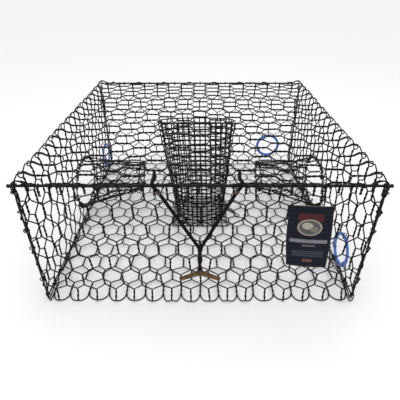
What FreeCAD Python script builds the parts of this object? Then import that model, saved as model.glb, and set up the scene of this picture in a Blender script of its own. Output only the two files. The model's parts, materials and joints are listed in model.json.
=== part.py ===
# A 24 inch wire crab trap: two wraps of hexagonal netting laced together at the edges,
# a tapered entrance funnel in each side, a bait well between floor and roof, three escape
# rings, and a roof edge that lifts when its shock-cord closure is unhooked.
# Frame: origin at the middle of the base, +X right, +Y to the back, +Z up. Millimetres.
import FreeCAD, Part
import math
import os
import Sketcher
from FreeCAD import Placement, Rotation, Vector

doc = FreeCAD.newDocument("crab_trap")
sheet = doc.addObject("Spreadsheet::Sheet", "sizes")

SIZES = [
    ("trap_half", 304.9, "outer face of the side netting from the middle"),
    ("roof_top", 272.0, "top face of the roof netting"),
    ("net_thick", 3.0, "thickness of a netting panel at its twisted pairs"),
    ("net_web", 3.0, "width of a twisted pair or strand in a panel"),
    ("cell_wide", 37.2, "spacing of the netting cells across the twists"),
    ("row_pitch", 39.0, "spacing of the rows of twists"),
    ("first_row", 18.0, "height of the lowest row of cells in a wall"),
    ("twist_long", 28.0, "length of one twist"),
    ("floor_mid", 7.0, "height of the middle of the floor netting"),
    ("wire_dia", 3.2, "selvedge and edge wires"),
    ("wire_nest", 2.3, "sideways step between two wires that lie against each other"),
    ("wire_bend", 14.0, "bend radius where a selvedge wire turns a corner"),
    ("rod_dia", 5.0, "straight rod along the top of the front"),
    ("rod_long", 618.0, "length of that rod"),
    ("rod_depth", 305.4, "distance of the rod in front of the middle"),
    ("rod_height", 266.0, "height of the rod"),
    ("hog_ring", 4.5, "radius of a hog ring, to the middle of its wire"),
    ("hog_wire", 2.0, "wire of a hog ring"),
    ("ring_step", 38.1, "spacing of the hog rings along an edge"),
    ("flap_half", 232.0, "half the width of the lifting part of the roof"),
    ("flap_hinge", -60.0, "where the lifting part bends, along Y"),
    ("fit_gap", 0.1, "clearance between two fixed parts that lie together"),
    ("gap", 0.9, "clearance round a moving panel"),
    ("mouth_y", 40.0, "middle of the funnels, along Y"),
    ("mouth_height", 77.0, "height of the middle of a funnel's mouth"),
    ("mouth_half_wide", 80.0, "half width of the mouth"),
    ("mouth_half_high", 62.0, "half height of the mouth"),
    ("throat_depth", 157.0, "distance of the throat from the middle"),
    ("throat_height", 95.0, "height of the middle of the throat"),
    ("throat_half_wide", 55.0, "half width of the throat"),
    ("throat_half_high", 32.0, "half height of the throat"),
    ("funnel_wall", 2.5, "wall of a funnel"),
    ("funnel_wire", 3.0, "rim wire of a mouth or throat"),
    ("well_y", 9.0, "middle of the bait well's foot, along Y"),
    ("well_radius", 60.0, "radius of the bait well's foot"),
    ("well_foot", 8.8, "height of the well's foot"),
    ("well_head", 266.0, "height of the well's pinched head"),
    ("well_head_x", -8.0, "middle of the head, along X"),
    ("well_head_y", -10.0, "middle of the head, along Y"),
    ("well_head_wide", 88.0, "half width of the head"),
    ("well_head_deep", 22.0, "half depth of the head"),
    ("well_wall", 2.0, "wall of the bait well"),
    ("mesh_pitch", 12.7, "square mesh of the well and its door"),
    ("mesh_wire", 1.6, "wire of the square mesh"),
    ("door_cells", 11, "cells along one side of the bait door"),
    ("door_low", 2.0, "underside of the bait door"),
    ("hole_rim", 4.0, "solid rim round a hole in the netting"),
    ("floor_hole", 56.0, "radius of the hole in the floor under the well"),
    ("well_clip_radius", 2.4, "radius of a foot clip's round ends"),
    ("well_clip_straight", 3.0, "straight side of a foot clip"),
    ("well_clip_wire", 1.4, "wire of a foot clip"),
    ("well_clip_height", 8.6, "height of a foot clip's middle"),
    ("well_ring_step", 44.0, "spacing of the rings along the well's head"),
    ("well_ring_height", 267.2, "height of the rings at the well's head"),
    ("small_ring", 5.2, "radius of the rings round a mouth"),
    ("small_ring_wire", 1.6, "wire of the rings at a mouth and the well's head"),
    ("clip_radius", 2.1, "radius of a hinge clip's round ends"),
    ("clip_wire", 1.2, "wire of a clip"),
    ("catch_height", 3.3, "height of the bait door's catch"),
    ("catch_dia", 3.0, "shock cord of the catch"),
    ("catch_cord_long", 26.0, "length of that cord"),
    ("catch_end_x", 112.0, "free end of the catch along X"),
    ("catch_end_y", -18.0, "free end of the catch along Y"),
    ("catch_crimp_radius", 2.0, "radius of the catch's crimp"),
    ("catch_crimp_long", 5.0, "length of the catch's crimp"),
    ("catch_hook_wire", 2.2, "wire of the catch's hook"),
    ("catch_hook_reach", 14.8, "length of the hook's shank"),
    ("catch_hook_wide", 9.0, "width of the hook's bend"),
    ("catch_hook_bend", 4.0, "bend radius of the hook"),
    ("cull_radius", 38.0, "outer radius of an escape ring"),
    ("cull_bore", 30.0, "inner radius of an escape ring"),
    ("cull_thick", 4.5, "thickness of an escape ring"),
    ("tie_radius", 3.3, "radius of a tie's round ends"),
    ("tie_straight", 8.4, "straight side of a tie"),
    ("tie_wire", 1.6, "thickness of a tie"),
    ("cord_dia", 6.4, "shock cord of the closure"),
    ("stem_dia", 7.4, "the doubled cord below the knot"),
    ("cord_depth", 312.2, "distance of the closure in front of the middle"),
    ("loop_step", 0.4, "how far the loops over the rod stand in front of the legs"),
    ("loop_left", -75.0, "end of the left loop along X"),
    ("loop_right", 65.0, "end of the right loop along X"),
    ("loop_back", 275.0, "distance of the loops' ends in front of the middle"),
    ("loop_bend", 6.2, "bend radius of the loops over the rod"),
    ("crimp_height", 257.5, "height of the two crimps"),
    ("crimp_left", -66.0, "left crimp along X"),
    ("crimp_right", 58.0, "right crimp along X"),
    ("crimp_outer", 3.8, "outer radius of a crimp"),
    ("crimp_long", 7.0, "length of a crimp"),
    ("knot_height", 140.0, "height of the knot"),
    ("knot_radius", 3.9, "radius of the knot"),
    ("stem_foot", 87.0, "lower end of the doubled cord"),
    ("hook_span", 80.0, "tip to tip across the anchor hook"),
    ("hook_drop", 19.0, "how far the tips hang below the middle"),
    ("hook_bar", 6.0, "width of the hook's bar"),
    ("hook_thick", 4.8, "thickness of the hook"),
    ("tag_wide", 74.0, "width of the hang tag"),
    ("tag_high", 131.0, "height of the hang tag"),
    ("tag_thick", 0.8, "thickness of the hang tag"),
    ("tag_x", 187.5, "middle of the tag along X"),
    ("tag_z", 170.5, "middle of the tag's height"),
    ("tag_depth", 306.9, "distance of the tag in front of the middle"),
    ("tag_hole_down", 7, "from the top edge of the tag to its hole"),
    ("tag_hole_radius", 2.5, "hole for the tie"),
    ("tag_tie_long", 13, "from the hole up to the rod"),
    ("tag_tilt", -4.5, "lean of the tag, degrees"),
]

sheet.set("A1", "name")
sheet.set("B1", "size")
sheet.set("C1", "meaning")
for row, (alias, value, meaning) in enumerate(SIZES, start=2):
    sheet.set(f"A{row}", alias)
    sheet.set(f"B{row}", str(value))
    sheet.set(f"C{row}", meaning)
    sheet.setAlias(f"B{row}", alias)
doc.recompute()

nodes = []


def size(alias):
    """A driving dimension, read from the sheet."""
    return float(sheet.get(alias))


half = size("trap_half")
thick = size("net_thick")
web = size("net_web")
cell = size("cell_wide")
pitch = size("row_pitch")
twist = size("twist_long")
wire = size("wire_dia")
fit_gap = size("fit_gap")
nest = size("wire_nest")
floor_mid = size("floor_mid")
plane = half - thick / 2  # the middle of a wall's netting
edge = plane - nest  # the middle of the selvedge wire beside it
net_edge = edge - wire / 2 - fit_gap  # where a wall's netting stops, beside its wire
roof_mid = size("roof_top") - thick / 2
first_row = size("first_row")
FRONT_AND_BACK_ROWS = [57.0, 135.0, 174.0, 213.0, 252.0]


def keep(obj, label):
    """Name a finished sub-part, so that it is written as a node."""
    obj.Label = label
    nodes.append(obj)
    return obj


def feature(label, shape, placement=Placement()):
    """A sub-part whose shape comes straight from Part's functions."""
    obj = doc.addObject("Part::Feature", label)
    obj.Shape = shape
    obj.Placement = placement
    return keep(obj, label)


# ---------------------------------------------------------------- netting panels

WALL_FACING_Y = Rotation(Vector(1, 0, 0), 90)  # u along X, v along Z
WALL_FACING_X = Rotation(Vector(1, 1, 1), 120)  # u along Y, v along Z
ROOF = Rotation(Vector(1, 1, 0), 180)  # u along Y, v along X
NO_TURN = Rotation()


def clipped(points, low, high, axis):
    """The part of a convex outline between two limits along one axis."""
    for limit, sign in ((low, 1), (high, -1)):
        kept = []
        for here, there in zip(points, points[1:] + points[:1]):
            inside = (here[axis] - limit) * sign
            ahead = (there[axis] - limit) * sign
            if inside >= 0:
                kept.append(here)
            if (inside >= 0) != (ahead >= 0):
                part = inside / (inside - ahead)
                kept.append(tuple(a + part * (b - a) for a, b in zip(here, there)))
        points = kept
        if len(points) < 3:
            return []
    return points


def area(points):
    """The area inside an outline of points."""
    pairs = zip(points, points[1:] + points[:1])
    return abs(sum(a[0] * b[1] - b[0] * a[1] for a, b in pairs)) / 2


def face_of(points):
    """A flat face with this outline, at height 0."""
    loop = [Vector(u, v, 0) for u, v in points]
    return Part.Face(Part.makePolygon(loop + loop[:1]))


def hexagon(u, v, left_edge, right_edge):
    """One cell of the netting, less half a web all round.

    A cell beside an open edge of the panel reaches out past it, so only the tips of the
    cells meet the selvedge wire there.
    """
    rise = pitch - twist
    slope = rise / (cell / 2)
    side = cell / 2 - web / 2
    tip = twist / 2 + rise - web / 2 * math.hypot(1, slope)
    shoulder = tip - slope * side
    reach = 6.0
    left = left_edge - reach if u - cell / 2 < left_edge + reach else u - side
    right = right_edge + reach if u + cell / 2 > right_edge - reach else u + side
    return [
        (u, v + tip), (left, v + shoulder), (left, v - shoulder),
        (u, v - tip), (right, v - shoulder), (right, v + shoulder),
    ]  # fmt: skip


def hex_cells(span, borders, phase):
    """The outlines of every cell in a panel of hexagonal netting.

    span is the panel's low and high u, then v. borders gives the solid rim along each of
    those four edges, 0 where the cells run out open.
    """
    low_u, high_u, low_v, high_v = span
    phase_u, phase_v = phase
    far = 20.0
    inner = [
        low_u + borders[0] if borders[0] else low_u - far,
        high_u - borders[1] if borders[1] else high_u + far,
        low_v + borders[2] if borders[2] else low_v - far,
        high_v - borders[3] if borders[3] else high_v + far,
    ]
    open_left = -1e6 if borders[0] else low_u
    open_right = 1e6 if borders[1] else high_u
    cells = []
    for j in range(-20, 21):
        v = phase_v + j * pitch
        for i in range(-20, 21):
            u = phase_u + (i + 0.5 * (j % 2)) * cell
            beyond = u < open_left or u > open_right
            if beyond or v < low_v - twist or v > high_v + twist:
                continue
            outline = hexagon(u, v, open_left, open_right)
            outline = clipped(outline, inner[0], inner[1], 0)
            outline = clipped(outline, inner[2], inner[3], 1) if outline else []
            if outline and area(clipped(outline, low_v, high_v, 1) or [(0, 0)]) > 40:
                cells.append(outline)
    return cells


def oval_face(u, v, half_u, half_v):
    """A flat round or oval face, at height 0."""
    centre = Vector(u, v, 0)
    if half_u == half_v:
        curve = Part.Circle(centre, Vector(0, 0, 1), half_u)
    else:
        curve = Part.Ellipse(centre, max(half_u, half_v), min(half_u, half_v))
    return Part.Face(Part.Wire(curve.toShape()))


def net_panel(label, span, turn, base, phase=(0, 0), borders=(0, 0, 0, 0), holes=()):
    """One flat panel of hexagonal netting, thick along its own +Z, then placed.

    holes holds round or oval openings as (u, v, half_u, half_v), each with a rim.
    """
    rim = size("hole_rim")
    low_u, high_u, low_v, high_v = span
    sheet_face = face_of([(low_u, low_v), (high_u, low_v), (high_u, high_v), (low_u, high_v)])
    rims = [oval_face(u, v, a + rim, b + rim) for u, v, a, b in holes]
    cutters = [face_of(points) for points in hex_cells(span, borders, phase)]
    for ring in rims:
        trimmed = []
        for cutter in cutters:
            if cutter.distToShape(ring)[0] > 0:
                trimmed.append(cutter)
                continue
            left_over = cutter.cut(ring)
            trimmed += [f for f in left_over.Faces if f.Area > 40]
        cutters = trimmed
    cutters += [oval_face(*hole) for hole in holes]
    net = sheet_face.cut(Part.makeCompound(cutters))
    largest = max(net.Faces, key=lambda f: f.Area)
    solid = largest.extrude(Vector(0, 0, thick))
    return feature(label, solid, Placement(base, turn))


cull_hole = size("cull_radius") + 2 * fit_gap
mouth = (
    size("mouth_y"),
    size("mouth_height"),
    size("mouth_half_wide") - size("funnel_wall"),
    size("mouth_half_high") - size("funnel_wall"),
)
front_top = size("rod_height") - size("rod_dia") / 2 - fit_gap
back_wire_height = roof_mid - nest
side_low = floor_mid + nest + wire / 2 + fit_gap
side_high = size("roof_top") - thick - fit_gap
LEFT_CULL = (255.0, 54.0)
RIGHT_CULL = (-208.0, 51.5)
BACK_CULL = (225.0, 66.0)

net_panel(
    "front_netting",
    (-net_edge, net_edge, 0, front_top),
    WALL_FACING_Y,
    Vector(0, thick - half, 0),
    phase=(0, first_row),
    borders=(0, 0, web, 0),
)
net_panel(
    "back_netting",
    (-net_edge, net_edge, 0, back_wire_height - wire / 2 - fit_gap),
    WALL_FACING_Y,
    Vector(0, half, 0),
    phase=(0, first_row),
    borders=(0, 0, web, 0),
    holes=[(*BACK_CULL, cull_hole, cull_hole)],
)
floor_edge = half - thick - fit_gap
net_panel(
    "floor_netting",
    (-net_edge, net_edge, -floor_edge, floor_edge),
    NO_TURN,
    Vector(0, 0, floor_mid - thick / 2),
    phase=(0, 0),
    borders=(0, 0, web, web),
    holes=[(0, size("well_y"), size("floor_hole"), size("floor_hole"))],
)
for side, base_x, cull in (("left", -half, LEFT_CULL), ("right", half - thick, RIGHT_CULL)):
    net_panel(
        f"{side}_netting",
        (-net_edge, net_edge, side_low, side_high),
        WALL_FACING_X,
        Vector(base_x, 0, 0),
        phase=(0, first_row),
        borders=(0, 0, 0, web),
        holes=[mouth, (*cull, cull_hole, cull_hole)],
    )

flap_half = size("flap_half")
flap_hinge = size("flap_hinge")
gap = size("gap")
roof_base = Vector(0, 0, size("roof_top"))
net_panel(
    "roof_rear_netting",
    (flap_hinge, net_edge, -half, half),
    ROOF,
    roof_base,
    borders=(web, 0, web, web),
)
net_panel(
    "roof_flap_netting",
    (-net_edge, flap_hinge - gap, -flap_half, flap_half),
    ROOF,
    roof_base,
    borders=(0, web, web, web),
)
for side, low, high in (
    ("left", -half, -flap_half - gap),
    ("right", flap_half + gap, half),
):
    net_panel(
        f"roof_{side}_netting",
        (-net_edge, flap_hinge - fit_gap, low, high),
        ROOF,
        roof_base,
        borders=(0, web, web, web),
    )

# ---------------------------------------------------------------- wires


def path_of(points, bend):
    """Straight runs through the points, with a tangent arc of radius bend at each turn."""
    edges = []
    start = points[0]
    for before, corner, after in zip(points, points[1:], points[2:]):
        back = (before - corner).normalize()
        ahead = (after - corner).normalize()
        angle = back.getAngle(ahead)
        reach = bend / math.tan(angle / 2)
        arc_in = corner + back * reach
        arc_out = corner + ahead * reach
        middle = (back + ahead).normalize()
        arc_mid = corner + middle * (bend / math.sin(angle / 2) - bend)
        edges.append(Part.LineSegment(start, arc_in).toShape())
        edges.append(Part.Arc(arc_in, arc_mid, arc_out).toShape())
        start = arc_out
    edges.append(Part.LineSegment(start, points[-1]).toShape())
    return Part.Wire(edges)


def tube(path, diameter):
    """A solid round wire along a path."""
    first = path.Edges[0]
    heading = first.tangentAt(first.FirstParameter)
    start = first.valueAt(first.FirstParameter)
    profile = Part.Wire(Part.Circle(start, heading, diameter / 2).toShape())
    return path.makePipeShell([profile], True, False, 2)


def bent_wire(label, points, bend, diameter):
    """A round wire with bends, as a sub-part."""
    return feature(label, tube(path_of(points, bend), diameter))


def straight_rod(label, diameter, length, base, turn):
    """A straight round rod whose sizes follow the sheet."""
    rod = doc.addObject("Part::Cylinder", label)
    rod.setExpression("Radius", f"<<sizes>>.{diameter} / 2")
    rod.setExpression("Height", length)
    rod.Placement = Placement(base, turn)
    return keep(rod, label)


sheet.Label = "sizes"
ALONG_X = Rotation(Vector(0, 1, 0), 90)
ALONG_Y = Rotation(Vector(1, 0, 0), -90)
bend = size("wire_bend")

straight_rod(
    "front_rod",
    "rod_dia",
    "<<sizes>>.rod_long",
    Vector(-size("rod_long") / 2, -size("rod_depth"), size("rod_height")),
    ALONG_X,
)
back_wire_long = 2 * (half - 8.0)
straight_rod(
    "back_top_wire",
    "wire_dia",
    f"{back_wire_long}",
    Vector(-back_wire_long / 2, plane, back_wire_height),
    ALONG_X,
)
bottom_wire_long = 2 * (edge - wire)
for side, sign in (("left", -1), ("right", 1)):
    straight_rod(
        f"{side}_bottom_wire",
        "wire_dia",
        f"{bottom_wire_long}",
        Vector(sign * plane, -bottom_wire_long / 2, floor_mid + nest),
        ALONG_Y,
    )
    bent_wire(
        f"lower_{side}_selvedge",
        [
            Vector(sign * edge, -plane, front_top - 1.0),
            Vector(sign * edge, -plane, floor_mid),
            Vector(sign * edge, plane, floor_mid),
            Vector(sign * edge, plane, back_wire_height - wire / 2 - 0.6),
        ],
        bend,
        wire,
    )
    bent_wire(
        f"upper_front_{side}_selvedge",
        [
            Vector(sign * plane, -edge, floor_mid + nest + wire),
            Vector(sign * plane, -edge, roof_mid),
            Vector(sign * (flap_half + gap), -edge, roof_mid),
        ],
        bend,
        wire,
    )
straight_rod(
    "flap_selvedge",
    "wire_dia",
    "2 * <<sizes>>.flap_half",
    Vector(-flap_half, -edge, roof_mid),
    ALONG_X,
)
bent_wire(
    "upper_back_selvedge",
    [
        Vector(-plane, edge, floor_mid + nest + wire),
        Vector(-plane, edge, roof_mid),
        Vector(plane, edge, roof_mid),
        Vector(plane, edge, floor_mid + nest + wire),
    ],
    bend,
    wire,
)

# ---------------------------------------------------------------- hog rings

ring_radius = size("hog_ring")
ring_wire = size("hog_wire")


def hog_rings(label, places, radius=ring_radius, diameter=ring_wire):
    """A group of closed wire rings, one solid each; a place is a middle and an axis."""
    rings = [Part.makeTorus(radius, diameter / 2, middle, axis) for middle, axis in places]
    return feature(label, Part.makeCompound(rings))


nested = (plane + edge) / 2  # midway between two wires that lie against each other
X_AXIS = Vector(1, 0, 0)
Y_AXIS = Vector(0, 1, 0)
Z_AXIS = Vector(0, 0, 1)
for end, sign_y in (("front", -1), ("back", 1)):
    for side, sign_x in (("left", -1), ("right", 1)):
        hog_rings(
            f"{end}_{side}_hog_rings",
            [
                (Vector(sign_x * nested, sign_y * nested, height), Z_AXIS)
                for height in FRONT_AND_BACK_ROWS
            ],
        )
ring_step = size("ring_step")
for side, sign_x in (("left", -1), ("right", 1)):
    hog_rings(
        f"bottom_{side}_hog_rings",
        [
            (Vector(sign_x * nested, k * ring_step, floor_mid + nest / 2), Y_AXIS)
            for k in range(-7, 8, 2)
        ],
    )
hog_rings(
    "back_top_hog_rings",
    [(Vector(k * ring_step, nested, roof_mid - nest / 2), X_AXIS) for k in range(-7, 8)],
)

# ---------------------------------------------------------------- entrance funnels


def oval(name, half_wide, half_high, shrink, base, turn):
    """An ellipse whose half sizes follow the sheet, less shrink times the wall."""
    curve = doc.addObject("Part::Ellipse", name)
    curve.setExpression("MajorRadius", f"<<sizes>>.{half_wide} - {shrink}")
    curve.setExpression("MinorRadius", f"<<sizes>>.{half_high} - {shrink}")
    curve.Placement = Placement(base, turn)
    return curve


def loft(name, first, last):
    """A solid between two closed outlines."""
    body = doc.addObject("Part::Loft", name)
    body.Sections = [first, last]
    body.Solid = True
    body.Ruled = True
    return body


def lofted_shell(label, ends, wall):
    """A tapered tube: the loft through two ovals, less the loft through two smaller ones."""
    lofts = []
    for layer, shrink in (("outer", "0"), ("inner", f"<<sizes>>.{wall}")):
        ovals = [
            oval(f"{label}_{layer}_{k}", wide, high, shrink, base, turn)
            for k, (wide, high, base, turn) in enumerate(ends)
        ]
        lofts.append(loft(f"{label}_{layer}", *ovals))
    shell = doc.addObject("Part::Cut", label)
    shell.Base, shell.Tool = lofts
    return keep(shell, label)


def oval_ring(label, base, half_y, half_z, diameter):
    """A round wire bent into an upright oval that faces along X."""
    curve = Part.Ellipse(Vector(0, 0, 0), half_y, half_z)
    path = Part.Wire(curve.toShape())
    start = Vector(half_y, 0, 0)
    profile = Part.Wire(Part.Circle(start, Vector(0, 1, 0), diameter / 2).toShape())
    ring = path.makePipeShell([profile], True, False)
    return feature(label, ring, Placement(base, WALL_FACING_X))


funnel_wire = size("funnel_wire")
mouth_y = size("mouth_y")
for side, sign in (("left", -1), ("right", 1)):
    mouth_x = sign * (half - thick - 0.3)
    throat_x = sign * size("throat_depth")
    lofted_shell(
        f"{side}_funnel",
        [
            (
                "mouth_half_wide",
                "mouth_half_high",
                Vector(mouth_x, mouth_y, size("mouth_height")),
                WALL_FACING_X,
            ),
            (
                "throat_half_wide",
                "throat_half_high",
                Vector(throat_x, mouth_y, size("throat_height")),
                WALL_FACING_X,
            ),
        ],
        "funnel_wall",
    )
    oval_ring(
        f"{side}_mouth_ring",
        Vector(sign * (half + funnel_wire / 2 + fit_gap), mouth_y, size("mouth_height")),
        size("mouth_half_wide"),
        size("mouth_half_high"),
        funnel_wire,
    )
    oval_ring(
        f"{side}_throat_ring",
        Vector(throat_x - sign * (funnel_wire / 2 + fit_gap), mouth_y, size("throat_height")),
        size("throat_half_wide") - 1.0,
        size("throat_half_high") - 1.0,
        funnel_wire,
    )
    places = []
    for k in range(8):
        turn = math.radians(22.5 + 45 * k)
        out_y = size("mouth_half_wide") * math.cos(turn)
        out_z = size("mouth_half_high") * math.sin(turn)
        middle = Vector(sign * (half - 0.2), mouth_y + out_y, size("mouth_height") + out_z)
        along = Vector(0, -out_z, out_y).normalize()
        places.append((middle, along))
    hog_rings(
        f"{side}_mouth_hog_rings", places, radius=size("small_ring"),
        diameter=size("small_ring_wire"),
    )  # fmt: skip

# ---------------------------------------------------------------- bait well and its door

well_y = size("well_y")
lofted_shell(
    "bait_well",
    [
        ("well_radius", "well_radius", Vector(0, well_y, size("well_foot")), NO_TURN),
        (
            "well_head_wide",
            "well_head_deep",
            Vector(size("well_head_x"), size("well_head_y"), size("well_head")),
            NO_TURN,
        ),
    ],
    "well_wall",
)


def long_ring(middle, along, rise, radius, straight, diameter):
    """A wire loop with two round ends and straight sides, long in the direction of rise."""
    half_run = rise * (straight / 2)
    side = along.cross(rise) * radius
    top = middle + half_run
    foot = middle - half_run
    loop = Part.Wire(
        [
            Part.LineSegment(foot + side, top + side).toShape(),
            Part.Arc(top + side, top + rise * radius, top - side).toShape(),
            Part.LineSegment(top - side, foot - side).toShape(),
            Part.Arc(foot - side, foot - rise * radius, foot + side).toShape(),
        ]
    )
    profile = Part.Wire(Part.Circle(foot + side, rise, diameter / 2).toShape())
    return loop.makePipeShell([profile], True, False)


well_foot_clips = []
for k in range(6):
    turn = math.radians(30 + 60 * k)
    reach = size("well_radius") - size("well_wall") / 2
    middle = Vector(
        reach * math.cos(turn),
        well_y + reach * math.sin(turn),
        size("well_clip_height"),
    )
    along = Vector(-math.sin(turn), math.cos(turn), 0)
    clip = long_ring(
        middle, along, Z_AXIS, size("well_clip_radius"), size("well_clip_straight"),
        size("well_clip_wire"),
    )  # fmt: skip
    well_foot_clips.append(clip)
feature("well_foot_clips", Part.makeCompound(well_foot_clips))

head_places = []
for k in (-1.5, -0.5, 0.5, 1.5):
    offset = k * size("well_ring_step")
    lean = 1 - (offset / size("well_head_wide")) ** 2
    depth = (size("well_head_deep") - 1.0) * math.sqrt(lean)
    for sign in (-1, 1):
        middle = Vector(
            size("well_head_x") + offset,
            size("well_head_y") + sign * depth,
            size("well_ring_height"),
        )
        head_places.append((middle, X_AXIS))
hog_rings(
    "well_head_hog_rings", head_places, radius=size("small_ring") - 2 * fit_gap,
    diameter=size("small_ring_wire"),
)  # fmt: skip

mesh_pitch = size("mesh_pitch")
mesh_wire = size("mesh_wire")
door_cells = int(size("door_cells"))
door_half = door_cells * mesh_pitch / 2
hole_half = (mesh_pitch - mesh_wire) / 2
outer = door_half + mesh_wire / 2
door_face = face_of([(-outer, -outer), (outer, -outer), (outer, outer), (-outer, outer)])
door_holes = []
for i in range(door_cells):
    for j in range(door_cells):
        u = (i + 0.5) * mesh_pitch - door_half
        v = (j + 0.5) * mesh_pitch - door_half
        low_u, high_u = u - hole_half, u + hole_half
        low_v, high_v = v - hole_half, v + hole_half
        corners = [(low_u, low_v), (high_u, low_v), (high_u, high_v), (low_u, high_v)]
        door_holes.append(face_of(corners))
door_net = door_face.cut(Part.makeCompound(door_holes))
feature(
    "bait_door",
    door_net.Faces[0].extrude(Vector(0, 0, mesh_wire)),
    Placement(Vector(0, well_y, size("door_low")), NO_TURN),
)
hinge_x = -door_half
hinge_z = size("door_low") + mesh_wire / 2
clip_top = floor_mid + thick / 2 - 0.2
hinge_clips = []
for k in (-3, 3):
    middle = Vector(hinge_x, well_y + k * mesh_pitch, (hinge_z + clip_top) / 2)
    straight = clip_top - hinge_z
    clip = long_ring(middle, Y_AXIS, Z_AXIS, size("clip_radius"), straight, size("clip_wire"))
    hinge_clips.append(clip)
feature("bait_door_hinge_clips", Part.makeCompound(hinge_clips))

catch_height = size("catch_height")
catch_start = Vector(door_half + 3.2, well_y + 9.0, catch_height)
catch_end = Vector(size("catch_end_x"), size("catch_end_y"), catch_height)
catch_way = (catch_end - catch_start).normalize()


def along_catch(distance):
    """A point this far along the bait door's catch."""
    return catch_start + catch_way * distance


catch_cord_long = size("catch_cord_long")
crimp_from = catch_cord_long + fit_gap
hook_from = crimp_from + size("catch_crimp_long") + fit_gap
hook_to = hook_from + size("catch_hook_reach")
hook_back = hook_to - 2 * size("catch_hook_bend")
hook_wide = size("catch_hook_wide")
feature(
    "bait_door_cord",
    tube(
        Part.Wire(Part.LineSegment(catch_start, along_catch(catch_cord_long)).toShape()),
        size("catch_dia"),
    ),
)
feature(
    "bait_door_crimp",
    Part.makeCylinder(
        size("catch_crimp_radius"), size("catch_crimp_long"), along_catch(crimp_from), catch_way
    ),
)
across = catch_way.cross(Z_AXIS)
feature(
    "bait_door_hook",
    tube(
        path_of(
            [
                along_catch(hook_from),
                along_catch(hook_to),
                along_catch(hook_to) + across * hook_wide,
                along_catch(hook_back) + across * hook_wide,
            ],
            size("catch_hook_bend"),
        ),
        size("catch_hook_wire"),
    ),
)

# ---------------------------------------------------------------- escape rings


def bind(sketch, constraint, expression):
    """Name a sketch's constraint after what it sizes, and bind it to the sheet."""
    index, name = constraint
    sketch.renameConstraint(index, name)
    sketch.setExpression(f"Constraints.{name}", expression)


def origin_plane(body, role):
    """One of a body's own origin planes."""
    return next(f for f in body.Origin.OriginFeatures if f.Role == role)


def new_body(label):
    """A PartDesign body."""
    return doc.addObject("PartDesign::Body", label)


def rectangle(sketch, low_x, low_y, high_x, high_y):
    """Four joined lines; the sketch keeps them level and upright."""
    corners = [
        Vector(low_x, low_y, 0),
        Vector(high_x, low_y, 0),
        Vector(high_x, high_y, 0),
        Vector(low_x, high_y, 0),
    ]
    lines = [
        sketch.addGeometry(Part.LineSegment(a, b), False)
        for a, b in zip(corners, corners[1:] + corners[:1])
    ]
    for here, there in zip(lines, lines[1:] + lines[:1]):
        sketch.addConstraint(Sketcher.Constraint("Coincident", here, 2, there, 1))
    for k, kind in enumerate(("Horizontal", "Vertical", "Horizontal", "Vertical")):
        sketch.addConstraint(Sketcher.Constraint(kind, lines[k]))
    return lines


def cull_ring(label, base, turn):
    """A flat plastic ring with rounded edges, turned about its own Z axis."""
    body = new_body(label)
    sketch = body.newObject("Sketcher::SketchObject", f"{label}_section")
    sketch.AttachmentSupport = [(origin_plane(body, "XZ_Plane"), "")]
    sketch.MapMode = "FlatFace"
    inner, outer_radius = size("cull_bore"), size("cull_radius")
    depth = size("cull_thick")
    lines = rectangle(sketch, inner, -depth / 2, outer_radius, depth / 2)
    bore = Sketcher.Constraint("DistanceX", -1, 1, lines[0], 1, inner)
    bind(sketch, (sketch.addConstraint(bore), "bore"), "<<sizes>>.cull_bore")
    rim = Sketcher.Constraint("DistanceX", -1, 1, lines[0], 2, outer_radius)
    bind(sketch, (sketch.addConstraint(rim), "rim"), "<<sizes>>.cull_radius")
    deep = Sketcher.Constraint("DistanceY", lines[1], 1, lines[1], 2, depth)
    bind(sketch, (sketch.addConstraint(deep), "deep"), "<<sizes>>.cull_thick")
    low = Sketcher.Constraint("DistanceY", lines[0], 1, -1, 1, depth / 2)
    bind(sketch, (sketch.addConstraint(low), "low"), "<<sizes>>.cull_thick / 2")
    turned = body.newObject("PartDesign::Revolution", f"{label}_turned")
    turned.Profile = sketch
    turned.ReferenceAxis = (sketch, ["V_Axis"])
    turned.Angle = 360
    doc.recompute()
    rounded = body.newObject("PartDesign::Fillet", f"{label}_edges")
    rims = [
        f"Edge{k}"
        for k, rim_edge in enumerate(turned.Shape.Edges, start=1)
        if rim_edge.Curve.TypeId == "Part::GeomCircle"
    ]
    rounded.Base = (turned, rims)
    rounded.Radius = 1.6
    body.Tip = rounded
    body.Placement = Placement(base, turn)
    return keep(body, label)


cull_ring("left_cull_ring", Vector(-plane, LEFT_CULL[0], LEFT_CULL[1]), WALL_FACING_X)
cull_ring("right_cull_ring", Vector(plane, RIGHT_CULL[0], RIGHT_CULL[1]), WALL_FACING_X)
cull_ring("back_cull_ring", Vector(BACK_CULL[0], plane, BACK_CULL[1]), WALL_FACING_Y)


def cull_ties(label, base, turn):
    """Three small loops that tie an escape ring to the rim of its hole."""
    ties = []
    for k in range(3):
        angle = math.radians(90 + 120 * k)
        out = Vector(math.cos(angle), math.sin(angle), 0)
        side = Vector(-out.y, out.x, 0)
        reach = (size("cull_bore") + size("cull_radius") + size("tie_straight") / 2) / 2
        middle = base + turn.multVec(out * reach)
        tie = long_ring(
            middle, turn.multVec(side), turn.multVec(out), size("tie_radius"),
            size("tie_straight"), size("tie_wire"),
        )  # fmt: skip
        ties.append(tie)
    return feature(label, Part.makeCompound(ties))


cull_ties("left_cull_ties", Vector(-plane, *LEFT_CULL), WALL_FACING_X)
cull_ties("right_cull_ties", Vector(plane, *RIGHT_CULL), WALL_FACING_X)
cull_ties("back_cull_ties", Vector(BACK_CULL[0], plane, BACK_CULL[1]), WALL_FACING_Y)

# ---------------------------------------------------------------- shock-cord closure

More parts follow.
